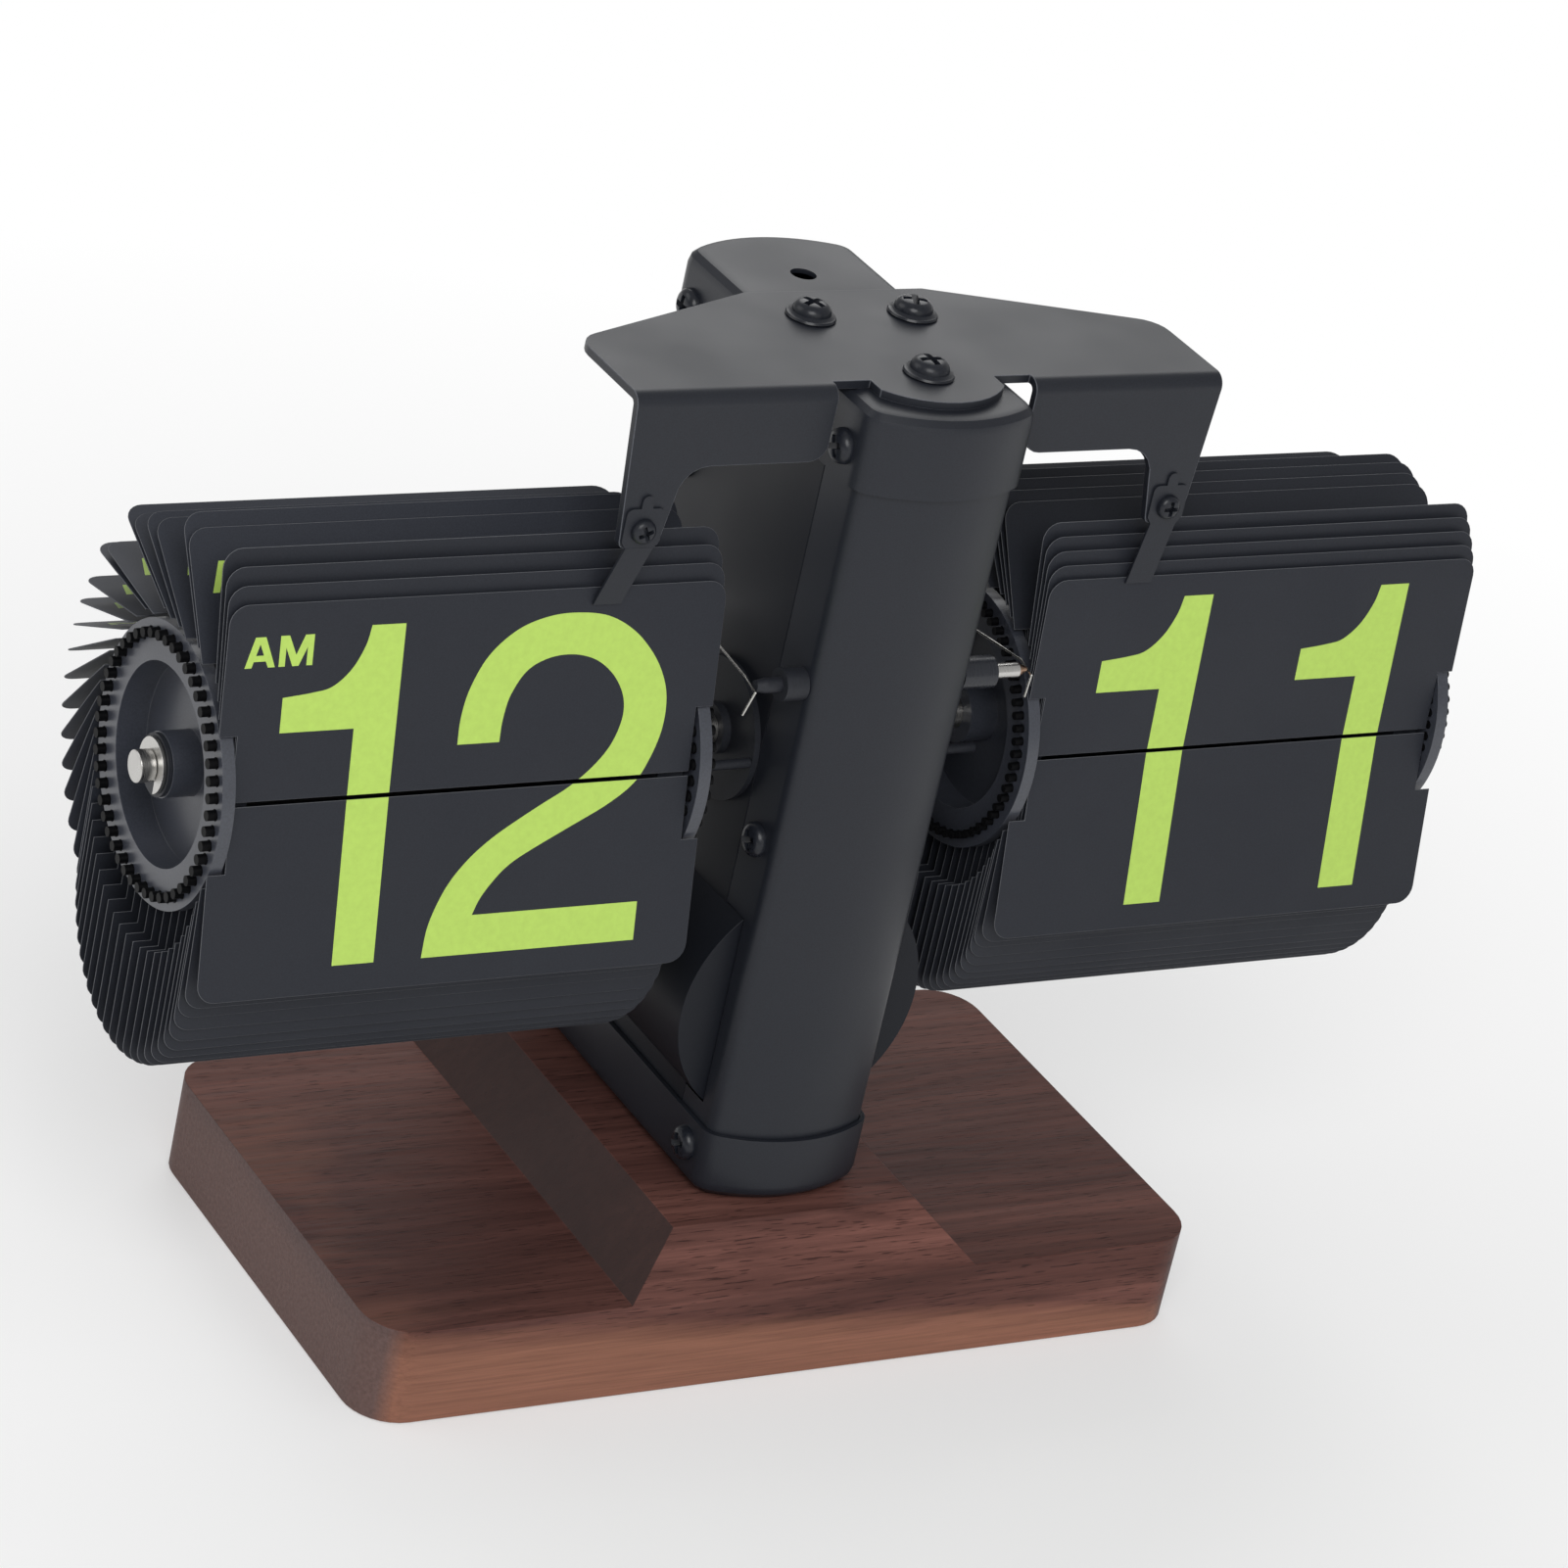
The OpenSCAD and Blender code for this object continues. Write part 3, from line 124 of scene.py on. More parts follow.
class FlipClockStage(bpy.types.PropertyGroup):
    """The floor, the lamps and the camera."""
    floor_size: length("Floor", "Radius of the floor", 4.0)
    floor_colour: colour("Floor colour", "Colour of the floor", (0.93, 0.93, 0.93))
    key_power: power("Key lamp", "Power of the soft lamp above the front", 6.6)
    fill_power: power("Fill lamp", "Power of the soft lamp in front", 1.2)
    rear_power: power("Rear lamp", "Power of the soft lamp behind", 2.9)
    side_power: power("Side lamp", "Power of the soft lamp behind the left side", 1.8)
    ambient: FloatProperty(name="Ambient", description="Strength of the room's light", default=0.42, min=0)
    focal_length: FloatProperty(name="Focal length", description="Camera's focal length in millimetres", default=135.74,
                                min=10)


def colours():
    return bpy.context.scene.flip_clock_colours


def sizes():
    return bpy.context.scene.flip_clock_sizes


def stage():
    return bpy.context.scene.flip_clock_stage


# Materials

class Finish:
    """A node material with a principled shader and short calls for its textures."""

    def __init__(self, name, base, roughness, metallic=0.0, **sockets):
        self.material = bpy.data.materials.new(name)
        self.material.use_nodes = True
        self.nodes = self.material.node_tree.nodes
        self.links = self.material.node_tree.links
        self.shader = self.nodes["Principled BSDF"]
        self.shader.inputs["Base Color"].default_value = (*base, 1)
        self.shader.inputs["Roughness"].default_value = roughness
        self.shader.inputs["Metallic"].default_value = metallic
        for socket, value in sockets.items():
            self.shader.inputs[socket.replace("_", " ")].default_value = value
        self.place = self.nodes.new("ShaderNodeTexCoord").outputs["Object"]

    def node(self, kind, links=None, values=None, **settings):
        made = self.nodes.new(kind)
        for key, value in settings.items():
            setattr(made, key, value)
        for socket, value in (values or {}).items():
            made.inputs[socket].default_value = value
        for socket, source in (links or {}).items():
            self.links.new(source, made.inputs[socket])
        return made

    def stretched(self, scale, vector=None):
        source = self.place if vector is None else vector
        return self.node("ShaderNodeMapping", {"Vector": source}, {"Scale": scale}).outputs[0]

    def axes(self, vector):
        return self.node("ShaderNodeSeparateXYZ", {"Vector": vector}).outputs

    def noise(self, vector, scale, detail=3.0, roughness=0.55):
        return self.node("ShaderNodeTexNoise", {"Vector": vector},
                         {"Scale": scale, "Detail": detail, "Roughness": roughness}).outputs["Fac"]

    def ramp(self, fac, stops):
        made = self.node("ShaderNodeValToRGB", {"Fac": fac})
        band = made.color_ramp
        while len(band.elements) < len(stops):
            band.elements.new(0.5)
        for element, (place, shade) in zip(band.elements, stops):
            element.position = place
            element.color = (*shade, 1)
        return made.outputs["Color"]

    def span(self, fac, low, high, from_low=0.0, from_high=1.0):
        return self.node("ShaderNodeMapRange", {"Value": fac},
                         {"From Min": from_low, "From Max": from_high, "To Min": low, "To Max": high}).outputs[0]

    def mix(self, fac, a, b, blend="MIX"):
        made = self.node("ShaderNodeMix", data_type="RGBA", blend_type=blend)
        for socket, source in ((0, fac), (6, a), (7, b)):
            if hasattr(source, "is_linked"):
                self.links.new(source, made.inputs[socket])
            elif socket == 0:
                made.inputs[0].default_value = source
            else:
                made.inputs[socket].default_value = (*source, 1)
        return made.outputs[2]

    def maths(self, operation, *sources):
        """A math node on other nodes' outputs or plain numbers."""
        made = self.node("ShaderNodeMath", operation=operation)
        for socket, source in zip(made.inputs, sources):
            if hasattr(source, "is_linked"):
                self.links.new(source, socket)
            else:
                socket.default_value = source
        return made.outputs[0]

    def mottle(self, fac, base, low, high, from_low=0.3, from_high=0.7):
        """The base colour between a darker and a lighter share of itself."""
        share = self.span(fac, 0.0, 1.0, from_low, from_high)
        return self.mix(share, [c * low for c in base], [c * high for c in base])

    def feed(self, socket, source):
        self.links.new(source, self.shader.inputs[socket])

    def bump(self, height, strength, distance):
        made = self.node("ShaderNodeBump", {"Height": height}, {"Strength": strength, "Distance": distance})
        self.feed("Normal", made.outputs[0])


def painted(name, base, roughness, grain=5200.0, depth=0.00002, shine=0.34):
    """Paint with a fine even grain and slightly uneven gloss."""
    f = Finish(name, base, roughness, Specular_IOR_Level=shine)
    fine = f.noise(f.place, grain, 2.0)
    broad = f.noise(f.place, 38.0, 2.0)
    f.feed("Roughness", f.span(broad, roughness - 0.05, roughness + 0.06, 0.3, 0.7))
    f.feed("Base Color", f.mottle(fine, base, 0.86, 1.14, 0.35, 0.65))
    f.bump(fine, 0.35, depth)
    return f.material


def walnut(dark, light, pale, sawn):
    """Oiled walnut with its grain along X: soft figure, fine fibres, short pores, a pale band low in front, painted
    light towards the rear and painted shade on the ridge's walls.
    """
    f = Finish("walnut_oiled", light, 0.55, Specular_IOR_Level=0.14)
    place = f.axes(f.place)
    # Broad figure that sways along the board, with painted light that makes it paler towards the rear
    sway = f.noise(f.stretched((7, 22, 22)), 1.0, 2.0)
    shift = f.node("ShaderNodeCombineXYZ", {"Y": f.span(sway, -0.012, 0.012), "Z": f.span(sway, 0.006, -0.006)})
    swept = f.node("ShaderNodeVectorMath", {0: f.place, 1: shift.outputs[0]}, operation="ADD").outputs[0]
    broad = f.noise(f.stretched((4, 46, 70), swept), 1.0, 3.0, 0.5)
    deep = [0.75 * a + 0.25 * b for a, b in zip(dark, light)]
    middle = [0.5 * a + 0.5 * b for a, b in zip(dark, light)]
    wood = f.ramp(broad, [(0.34, deep), (0.52, middle), (0.68, light)])
    # Painted light: the wood blends up to three quarters towards its light colour from 4 to 30 mm behind the middle
    wood = f.mix(f.span(place["Y"], 0.0, 0.75, 0.004, 0.03), wood, light)
    # Fine lines, fibres and short pores
    lines = f.noise(f.stretched((13, 520, 520), swept), 1.0, 4.0, 0.6)
    wood = f.mix(0.8, wood, f.ramp(lines, [(0.3, (0.6, 0.58, 0.58)), (0.7, (1.3, 1.28, 1.26))]), "MULTIPLY")
    fibres = f.noise(f.stretched((50, 2400, 2400)), 1.0, 3.0, 0.6)
    wood = f.mix(0.5, wood, f.ramp(fibres, [(0.25, (0.5, 0.48, 0.48)), (0.75, (1.3, 1.27, 1.25))]), "MULTIPLY")
    pores = f.span(f.noise(f.stretched((230, 3300, 3300)), 1.0, 1.0), 0.0, 1.0, 0.62, 0.7)
    wood = f.mix(f.span(pores, 0.0, 0.62), wood, [c * 0.4 for c in dark])
    # Pale band low on the board, tilted along it
    tilt = f.maths("MULTIPLY_ADD", place["X"], 0.075, place["Z"])
    wave = f.span(f.noise(f.stretched((24, 40, 300)), 1.0, 3.0), -0.0035, 0.0035)
    wood = f.mix(f.span(f.maths("ADD", tilt, wave), 0.78, 0.0, 0.0068, 0.0115), wood, f.mottle(fibres, pale, 0.72, 1.0))
    # Sawn end grain, with painted shade on the ridge's walls under the reels
    speckle = f.noise(f.place, 1500.0, 3.0, 0.6)
    inward = f.maths("ABSOLUTE", place["X"])
    # Painted shade: end grain within 45 mm of the middle darkens to 0.42 of its colour, fading out by 60 mm
    cut = f.mix(f.span(inward, 1.0, 0.0, 0.045, 0.06), f.mottle(speckle, sawn, 0.8, 1.2), [c * 0.42 for c in sawn])
    facing = f.axes(f.node("ShaderNodeTexCoord").outputs["Normal"])
    across = f.maths("ABSOLUTE", facing["X"])
    f.feed("Base Color", f.mix(f.span(across, 0.0, 0.86, 0.4, 0.7), wood, cut))
    f.feed("Roughness", f.span(fibres, 0.48, 0.66, 0.3, 0.7))
    f.bump(f.maths("SUBTRACT", f.span(fibres, 0.0, 0.35), pores), 0.35, 0.00006)
    return f.material


def flap_sheet(name, base):
    """Matt plastic sheet with a very fine texture."""
    f = Finish(name, base, 0.55, Specular_IOR_Level=0.28)
    fine = f.noise(f.place, 4200.0, 2.0)
    broad = f.noise(f.place, 60.0, 2.0)
    f.feed("Base Color", f.mottle(fine, base, 0.88, 1.12))
    f.feed("Roughness", f.span(broad, 0.5, 0.6, 0.3, 0.7))
    f.bump(fine, 0.22, 0.00002)
    return f.material


def ink_print(base):
    """Screen print: an even coat with a slight mottle."""
    f = Finish("numeral_ink", base, 0.5, Specular_IOR_Level=0.2)
    mottle = f.noise(f.place, 900.0, 3.0)
    f.feed("Base Color", f.mottle(mottle, base, 0.96, 1.04))
    f.bump(mottle, 0.08, 0.00001)
    return f.material


def turned_metal(name, base, roughness):
    """Bare metal with fine turning lines round the X axis."""
    f = Finish(name, base, roughness, metallic=1.0)
    lines = f.noise(f.stretched((9000, 300, 300)), 1.0, 2.0)
    f.feed("Roughness", f.span(lines, roughness - 0.08, roughness + 0.1, 0.3, 0.7))
    f.bump(lines, 0.15, 0.00001)
    return f.material


def spring_post(paint, steel, copper):
    """A post that is painted at its foot, bare steel further out and copper at its tip."""
    f = Finish("spring_post", steel, 0.28)
    out = f.maths("ABSOLUTE", f.axes(f.place)["X"])
    s = sizes()
    bare = f.span(out, 0.0, 1.0, s.post_steel, s.post_steel + 0.0001)
    tip = f.span(out, 0.0, 1.0, s.post_copper, s.post_copper + 0.0001)
    f.feed("Base Color", f.mix(bare, paint, f.mix(tip, steel, copper)))
    f.feed("Metallic", bare)
    lines = f.noise(f.stretched((6000, 300, 300)), 1.0, 2.0)
    f.feed("Roughness", f.span(lines, 0.22, 0.4, 0.3, 0.7))
    f.bump(lines, 0.15, 0.00001)
    return f.material


def felt_pile(base):
    """Short felt with a mottled pile."""
    f = Finish("felt_pile", base, 0.95, Sheen_Weight=0.4, Sheen_Roughness=0.5)
    pile = f.noise(f.place, 2600.0, 4.0, 0.7)
    f.feed("Base Color", f.mottle(pile, base, 0.6, 1.5))
    f.bump(pile, 0.8, 0.0002)
    return f.material


MATERIALS = {}


def finish(name):
    """The material of that name, made once."""
    if name not in MATERIALS:
        c = colours()
        makers = {
            "walnut": lambda: walnut(list(c.walnut_dark), list(c.walnut_light), list(c.sapwood), list(c.walnut_end)),
            "felt": lambda: felt_pile((0.03, 0.03, 0.032)),
            "paint": lambda: painted("sheet_paint_black", list(c.paint), 0.4),
            # Painted highlight on the bevels of the sheets' edges
            "sheet_edge_highlight": lambda: painted("sheet_paint_rim", list(c.sheet_edge_highlight), 0.36),
            # Black pins with painted shade of the holes they sit in
            "pin": lambda: painted("flap_pin_black", list(c.pin_dark_shade), 0.5, 2600.0, 0.00001, 0.1),
            "post": lambda: spring_post(list(c.paint), (0.6, 0.59, 0.57), list(c.copper)),
            "screw": lambda: painted("screw_black", [v * 0.9 for v in c.paint], 0.27, 2600.0, 0.00001),
            # Painted shade: the side plates are darker than the other sheets, as shade from the reels beside them
            "side_plates_paint_shade": lambda: painted("plate_paint_black", list(c.plate_paint_and_shade), 0.42, shine=0.2),
            # Painted light: 2.4 times the moulding's colour, for the light and sheen on the discs' faces from the left
            "disc": lambda: painted("reel_disc", [v * 2.4 for v in c.moulding], 0.33, 3000.0, 0.00002, 0.7),
            "moulding": lambda: painted("disc_moulding", list(c.moulding), 0.48, 3000.0, 0.00003),
            "flap": lambda: flap_sheet("flap_sheet_charcoal", list(c.flap)),
            # Painted light: the hour's rear flaps are 1.5 times lighter, for the light and sheen that fall on them
            "lit_rear_flap": lambda: flap_sheet("flap_sheet_worn", [v * 1.5 for v in c.flap]),
            # Painted highlight along the flaps' cut edges
            "flap_rim_highlight": lambda: painted("flap_cut_edge", list(c.flap_rim_highlight), 0.5),
            "ink": lambda: ink_print(list(c.ink)),
            "steel": lambda: turned_metal("turned_steel", (0.56, 0.55, 0.53), 0.3),
            "wire": lambda: turned_metal("spring_wire", (0.6, 0.59, 0.56), 0.26),
            "zinc": lambda: turned_metal("zinc_plate", (0.52, 0.53, 0.55), 0.34),
            "nickel": lambda: turned_metal("nickel_plate", (0.62, 0.59, 0.53), 0.25),
            "brass": lambda: turned_metal("machined_brass", (0.66, 0.45, 0.17), 0.3),
            "cell": lambda: painted("cell_jacket", (0.24, 0.25, 0.27), 0.35),
        }
        MATERIALS[name] = makers[name]()
    return MATERIALS[name]


WELD_REACH = 1e-6
FLAT_ANGLE = math.radians(0.4)


def dress(names, *finishes, ease=0.0, segments=2, edge=-1, limit=32):
    """Gives CAD nodes their finishes, and eases the edges above the limit in degrees by a bevel of that width."""
    for name in names:
        piece = NODES[name]
        piece.data.materials.clear()
        for key in finishes:
            piece.data.materials.append(finish(key))
        if ease:
            weld = piece.modifiers.new("weld", "WELD")
            weld.merge_threshold = WELD_REACH
            planes = piece.modifiers.new("planes", "DECIMATE")
            planes.decimate_type = "DISSOLVE"
            planes.angle_limit = FLAT_ANGLE
            bevel = piece.modifiers.new("ease", "BEVEL")
            bevel.width = ease
            bevel.segments = segments
            bevel.limit_method = "ANGLE"
            bevel.angle_limit = math.radians(limit)
            bevel.material = edge
            piece.modifiers.new("normals", "WEIGHTED_NORMAL")


def piece_from(name, mesh, key, body):
    """A new piece of the clock with its finish and the body that it rides on."""
    mesh.materials.append(finish(key))
    piece = bpy.data.objects.new(name, mesh)
    bpy.context.scene.collection.objects.link(piece)
    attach(piece, body)
    return piece


def islands(name):
    """The separate solids of a CAD node, each an array of its corner points."""
    bm = bmesh.new()
    bm.from_mesh(NODES[name].data)
    bmesh.ops.remove_doubles(bm, verts=bm.verts, dist=1e-7)
    seen = set()
    found = []
    for first in bm.verts:
        if first in seen:
            continue
        seen.add(first)
        group, todo = [], [first]
        while todo:
            vert = todo.pop()
            group.append(vert.co.copy())
            for edge in vert.link_edges:
                other = edge.other_vert(vert)
                if other not in seen:
                    seen.add(other)
                    todo.append(other)
        found.append(np.array(group))
    bm.free()
    return found


# Numerals

def curve_through(points, steps=7):
    """Points of a smooth curve through the given ones, both ends included."""
    ends = [2 * Vector(points[0]) - Vector(points[1])], [2 * Vector(points[-1]) - Vector(points[-2])]
    p = ends[0] + [Vector(v) for v in points] + ends[1]
    line = []
    for i in range(1, len(p) - 2):
        for s in range(steps):
            t = s / steps
            line.append(0.5 * (2 * p[i] + (p[i + 1] - p[i - 1]) * t
                               + (2 * p[i - 1] - 5 * p[i] + 4 * p[i + 1] - p[i + 2]) * t * t
                               + (3 * p[i] - p[i - 1] - 3 * p[i + 1] + p[i + 2]) * t * t * t))
    return line + [p[-2]]


def corner(*points):
    """Points that a straight outline runs through."""
    return [Vector(p) for p in points]


def numeral_one():
    flag = curve_through([(0, 16.1), (4.8, 16.65), (7.9, 17.4), (10.75, 19.9), (12.65, 23.4), (13.4, 26.5)])
    return [flag + corner((18.9, 26.5), (18.9, -26.2), (12.0, -26.2), (12.0, 10.7), (0, 10.7))]


def numeral_two():
    outer = curve_through([(2.6, 7.1), (2.75, 11.4), (3.8, 15.9), (6.4, 20.8), (10.7, 24.5), (15.6, 26.3), (20.6, 26.7),
                           (26, 25.9), (30.8, 23.2), (34.6, 19.1), (36.8, 14.9), (37.5, 11), (37.1, 6.8), (35.5, 2.4),
                           (33.4, -0.9), (29.2, -4.0), (22.8, -7.3), (16.4, -10.6), (13.2, -12.6), (10.9, -14.9),
                           (9, -17.5), (7.9, -20)])
    inner = curve_through([(0, -26.2), (0.55, -21.6), (1.9, -17.7), (3.8, -14.2), (6.6, -10.9), (9.8, -8.2), (13, -6.1),
                           (17.6, -3.4), (22.4, -0.7), (26, 2.2), (28.5, 5.2), (29.9, 8.5), (30.2, 11.4), (29.4, 14.2),
                           (27.4, 17), (24.4, 19.2), (20.5, 20.2), (16.4, 19.8), (13, 18.0), (10.7, 14.4), (9.8, 10.6),
                           (9.6, 7.1)])
    return [outer + corner((36.2, -20), (36.2, -26.2)) + inner]


def letter_a():
    return [corner((0, 0), (1.1, 0), (2.23, 3.57), (2.23, 4.65), (1.4, 4.65)),
            corner((3.72, 0), (4.85, 0), (3.05, 4.65), (2.23, 4.65), (2.23, 3.57)),
            corner((1.4, 0.95), (3.32, 0.95), (2.948, 1.85), (1.686, 1.85))]


def letter_m():
    return [corner((0, 0), (1, 0), (1, 2.85), (2.2, 0), (3.2, 0), (4.45, 2.85), (4.45, 0), (5.4, 0), (5.4, 4.7),
                   (3.95, 4.7), (2.7, 1.7), (1.4, 4.7), (0, 4.7))]


def stroke(points, width=6.6):
    """Quads along a smooth line of that width."""
    line = curve_through(points, 4)
    sides = []
    for i, point in enumerate(line):
        way = (line[min(i + 1, len(line) - 1)] - line[max(i - 1, 0)]).normalized()
        across = Vector((-way.y, way.x)) * width / 2
        sides.append((point + across, point - across))
    return [[a[0], b[0], b[1], a[1]] for a, b in zip(sides, sides[1:])]


GLYPHS = {"1": numeral_one, "2": numeral_two, "A": letter_a, "M": letter_m}
# Upper halves of the other digits, as lines along the middle of their strokes
SPINES = {
    "0": [[(5.5, -0.5), (6.2, 8), (8.8, 16.5), (13.5, 21.8), (19, 23.2), (24.5, 21.8), (29.2, 16.5), (31.8, 8),
           (32.5, -0.5)]],
    "3": [[(6.3, 10.5), (8.2, 17), (13, 21.8), (19.5, 23.2), (26.5, 21.2), (30.6, 15.8), (30, 8.8), (25.5, 3.8),
           (17, 2.2)]],
    "4": [[(26.5, 26.5), (26.5, 13), (26.5, -0.5)], [(24.5, 24), (15, 9.5), (8.5, -0.5)]],
    "5": [[(8.5, 23.2), (20, 23.2), (34, 23.2)], [(10.5, 24), (9.4, 12), (8.3, 0.5)],
          [(8.3, 1.5), (13, 5.2), (20, 6.6), (27, 4.8), (31.6, -0.5)]],
    "6": [[(32, 14.5), (29.4, 19.8), (24.5, 22.8), (19, 23.2), (12.8, 20), (8.4, 12), (6.4, -0.5)],
          [(7.5, -0.5), (13, 4.6), (20, 6.4), (27, 4.6), (32, -0.5)]],
    "7": [[(2, 23.2), (18, 23.2), (35.5, 23.2)], [(33, 21), (27, 11.5), (22.3, -0.5)]],
    "8": [[(19, 2.6), (11, 5.5), (7.6, 12.8), (11, 20.2), (19, 23.2), (27, 20.2), (30.4, 12.8), (27, 5.5), (19, 2.6)]],
    "9": [[(32, 9), (27, 3.5), (19, 0.8), (9.5, 4.5), (5.8, 12), (9.5, 19.6), (19, 23.2), (28.5, 19.6), (32, 11),
           (32, -0.5)]],
}
LETTER_RISE = 20.9
LETTER_PLACES = {"A": 3.0, "M": 8.42}
PRINTED_REAR_FLAPS = 16
# Length of a flap's end in which its notches lie
NOTCH_REACH = 0.004


def glyph(key):
    """The outlines of a digit or letter."""
    if key in GLYPHS:
        return GLYPHS[key]()
    return [quad for line in SPINES.get(key, []) for quad in stroke(line)]


class Leaf:
    """One flap, as its CAD sheet lies: the slit's end, the way to its free edge and its front."""

    def __init__(self, points):
        middle = points.mean(0)
        spread = points - middle
        spread[:, 0] = 0
        way = np.linalg.svd(spread, full_matrices=False)[2][0]
        along = points @ way
        notch_first = points[along < along.min() + NOTCH_REACH][:, 0]
        notch_last = points[along > along.max() - NOTCH_REACH][:, 0]
        if np.ptp(notch_first) > np.ptp(notch_last):
            way, along = -way, -along
        self.way = Vector(way)
        self.front = Vector((0, -way[2], way[1]))
        base = middle + way * (along.min() - middle @ way)
        self.corner = Vector((points[:, 0].min(), base[1], base[2]))
        self.thickness = np.ptp(spread @ np.array(self.front))
        self.order = math.atan2(base[2] - AXIS[2], base[1] - AXIS[1])


@functools.cache
def leaves(name):
    """The flaps of a CAD node, from the front over the top to the rear."""
    return sorted((Leaf(p) for p in islands(name)), key=lambda leaf: -(leaf.order % (2 * math.pi)))


def counter_clockwise(outline):
    """The outline's points, turned round where they run clockwise."""
    area = sum(a[0] * b[1] - b[0] * a[1] for a, b in zip(outline, outline[1:] + outline[:1]))
    return outline if area > 0 else outline[::-1]


def flat_glyph(bm, outlines, shift):
    """Adds the joined shape of a glyph's outlines as one flat face set without overlaps."""
    points, loops = [], []
    for outline in outlines:
        loops.append(list(range(len(points), len(points) + len(outline))))
        points += [Vector((p[0], p[1])) for p in counter_clockwise(outline)]
    spots, _, faces, _, _, sources = delaunay_2d_cdt(points, [], loops, 1, 1e-5)
    verts = [bm.verts.new((spot.x * MM + shift[0], spot.y * MM + shift[1], 0)) for spot in spots]
    for face, source in zip(faces, sources):
        if source:
            bm.faces.new([verts[i] for i in face])


def print_coat(bm, leaf, glyphs, upper, on_front):
    """Adds one half of a line of glyphs to a flap's front or back, as a thin coat let into the sheet."""
    slit = sizes().slit / 2
    coat = sizes().ink_lift
    out = leaf.front if on_front else -leaf.front
    flat = bmesh.new()
    for outlines, shift in glyphs:
        flat_glyph(flat, outlines, shift)
    everything = flat.verts[:] + flat.edges[:] + flat.faces[:]
    bmesh.ops.bisect_plane(flat, geom=everything, plane_co=(0, slit if upper else -slit, 0), plane_no=(0, 1, 0),
                           clear_inner=upper, clear_outer=not upper)
    bmesh.ops.triangulate(flat, faces=flat.faces[:])
    outer, inner = {}, {}
    for vert in flat.verts:
        if vert.link_faces:
            rise = (vert.co.y if upper else -vert.co.y) - slit
            spot = leaf.corner + X_AXIS * vert.co.x + leaf.way * rise + out * leaf.thickness / 2
            outer[vert] = bm.verts.new(spot + out * coat)
            inner[vert] = bm.verts.new(spot - out * coat)
    made = []
    for face in flat.faces:
        made.append(bm.faces.new([outer[v] for v in face.verts]))
        made.append(bm.faces.new([inner[v] for v in reversed(face.verts)]))
    for edge in flat.edges:
        if edge.is_boundary:
            a, b = edge.verts
            made.append(bm.faces.new((outer[a], outer[b], inner[b], inner[a])))
    bmesh.ops.recalc_face_normals(bm, faces=made)
    flat.free()


def hour_line(digits):
    """An hour's digits and its letters, with their places on a flap."""
    s = sizes()
    line = [(glyph(digit), (place, 0)) for digit, place in zip(digits, (s.hour_one, s.hour_two))]
    return line + [(glyph(letter), (place * MM, LETTER_RISE * MM)) for letter, place in LETTER_PLACES.items()]


def minute_line(digits):
    """A minute's digits, with their places on a flap."""
    s = sizes()
    last = s.minute_two if digits[1] == "1" else s.minute_wide
    return [(glyph(digits[0]), (s.minute_one, 0)), (glyph(digits[1]), (last, 0))]


def hour_after(steps):
    """The hour that shows after that many falls from 12, with two flaps for each hour."""
    return f"{steps // 2 % 12 or 12:2d}"


def following(reel, line):
    """The numbers that come next, for the fronts of the upright flaps and of the rear fan's first flaps."""
    upright, rear = f"{reel}_upper_flaps", f"{reel}_rear_flaps"
    places = [(upright, k) for k in range(len(leaves(upright)))] + [(rear, k) for k in range(PRINTED_REAR_FLAPS)]
    return [(node, k, line(step + 1), True, True) for step, (node, k) in enumerate(places)]


# Screws

def lathe(bm, profile, steps=40):
    """Turns a profile of radius and height pairs round Z. The first and last pair lie on the axis."""
    angles = [2 * math.pi * i / steps for i in range(steps)]
    rings = []
    for radius, height in profile:
        if radius < 1e-9:
            rings.append([bm.verts.new((0, 0, height))])
        else:
            rings.append([bm.verts.new((radius * math.cos(a), radius * math.sin(a), height)) for a in angles])
    for low, high in zip(rings, rings[1:]):
        for i in range(steps):
            j = (i + 1) % steps
            if len(low) == 1:
                bm.faces.new((low[0], high[j], high[i]))
            elif len(high) == 1:
                bm.faces.new((low[i], low[j], high[0]))
            else:
                bm.faces.new((low[i], low[j], high[j], high[i]))


def screw_profile(shank, crown, height, reach, flange=0.0, flange_t=0.0):
    """A domed head above zero and a shank below it."""
    line = [(0, -reach), (shank * 0.82, -reach), (shank, -reach + shank * 0.3), (shank, 0)]
    if flange:
        line += [(flange - flange_t * 0.4, 0), (flange, flange_t * 0.35), (flange - flange_t * 0.25, flange_t * 0.8),
                 (crown + flange_t * 0.35, flange_t), (crown, flange_t * 1.3)]
    else:
        line += [(crown, 0), (crown, height * 0.12)]
    top = flange_t + height
    low = line[-1][1]
    for step in range(1, 9):
        a = math.pi / 2 * step / 8
        line.append((crown * math.cos(a) ** 0.5, low + (top - low) * math.sin(a)))
    line[-1] = (0, top)
    return line


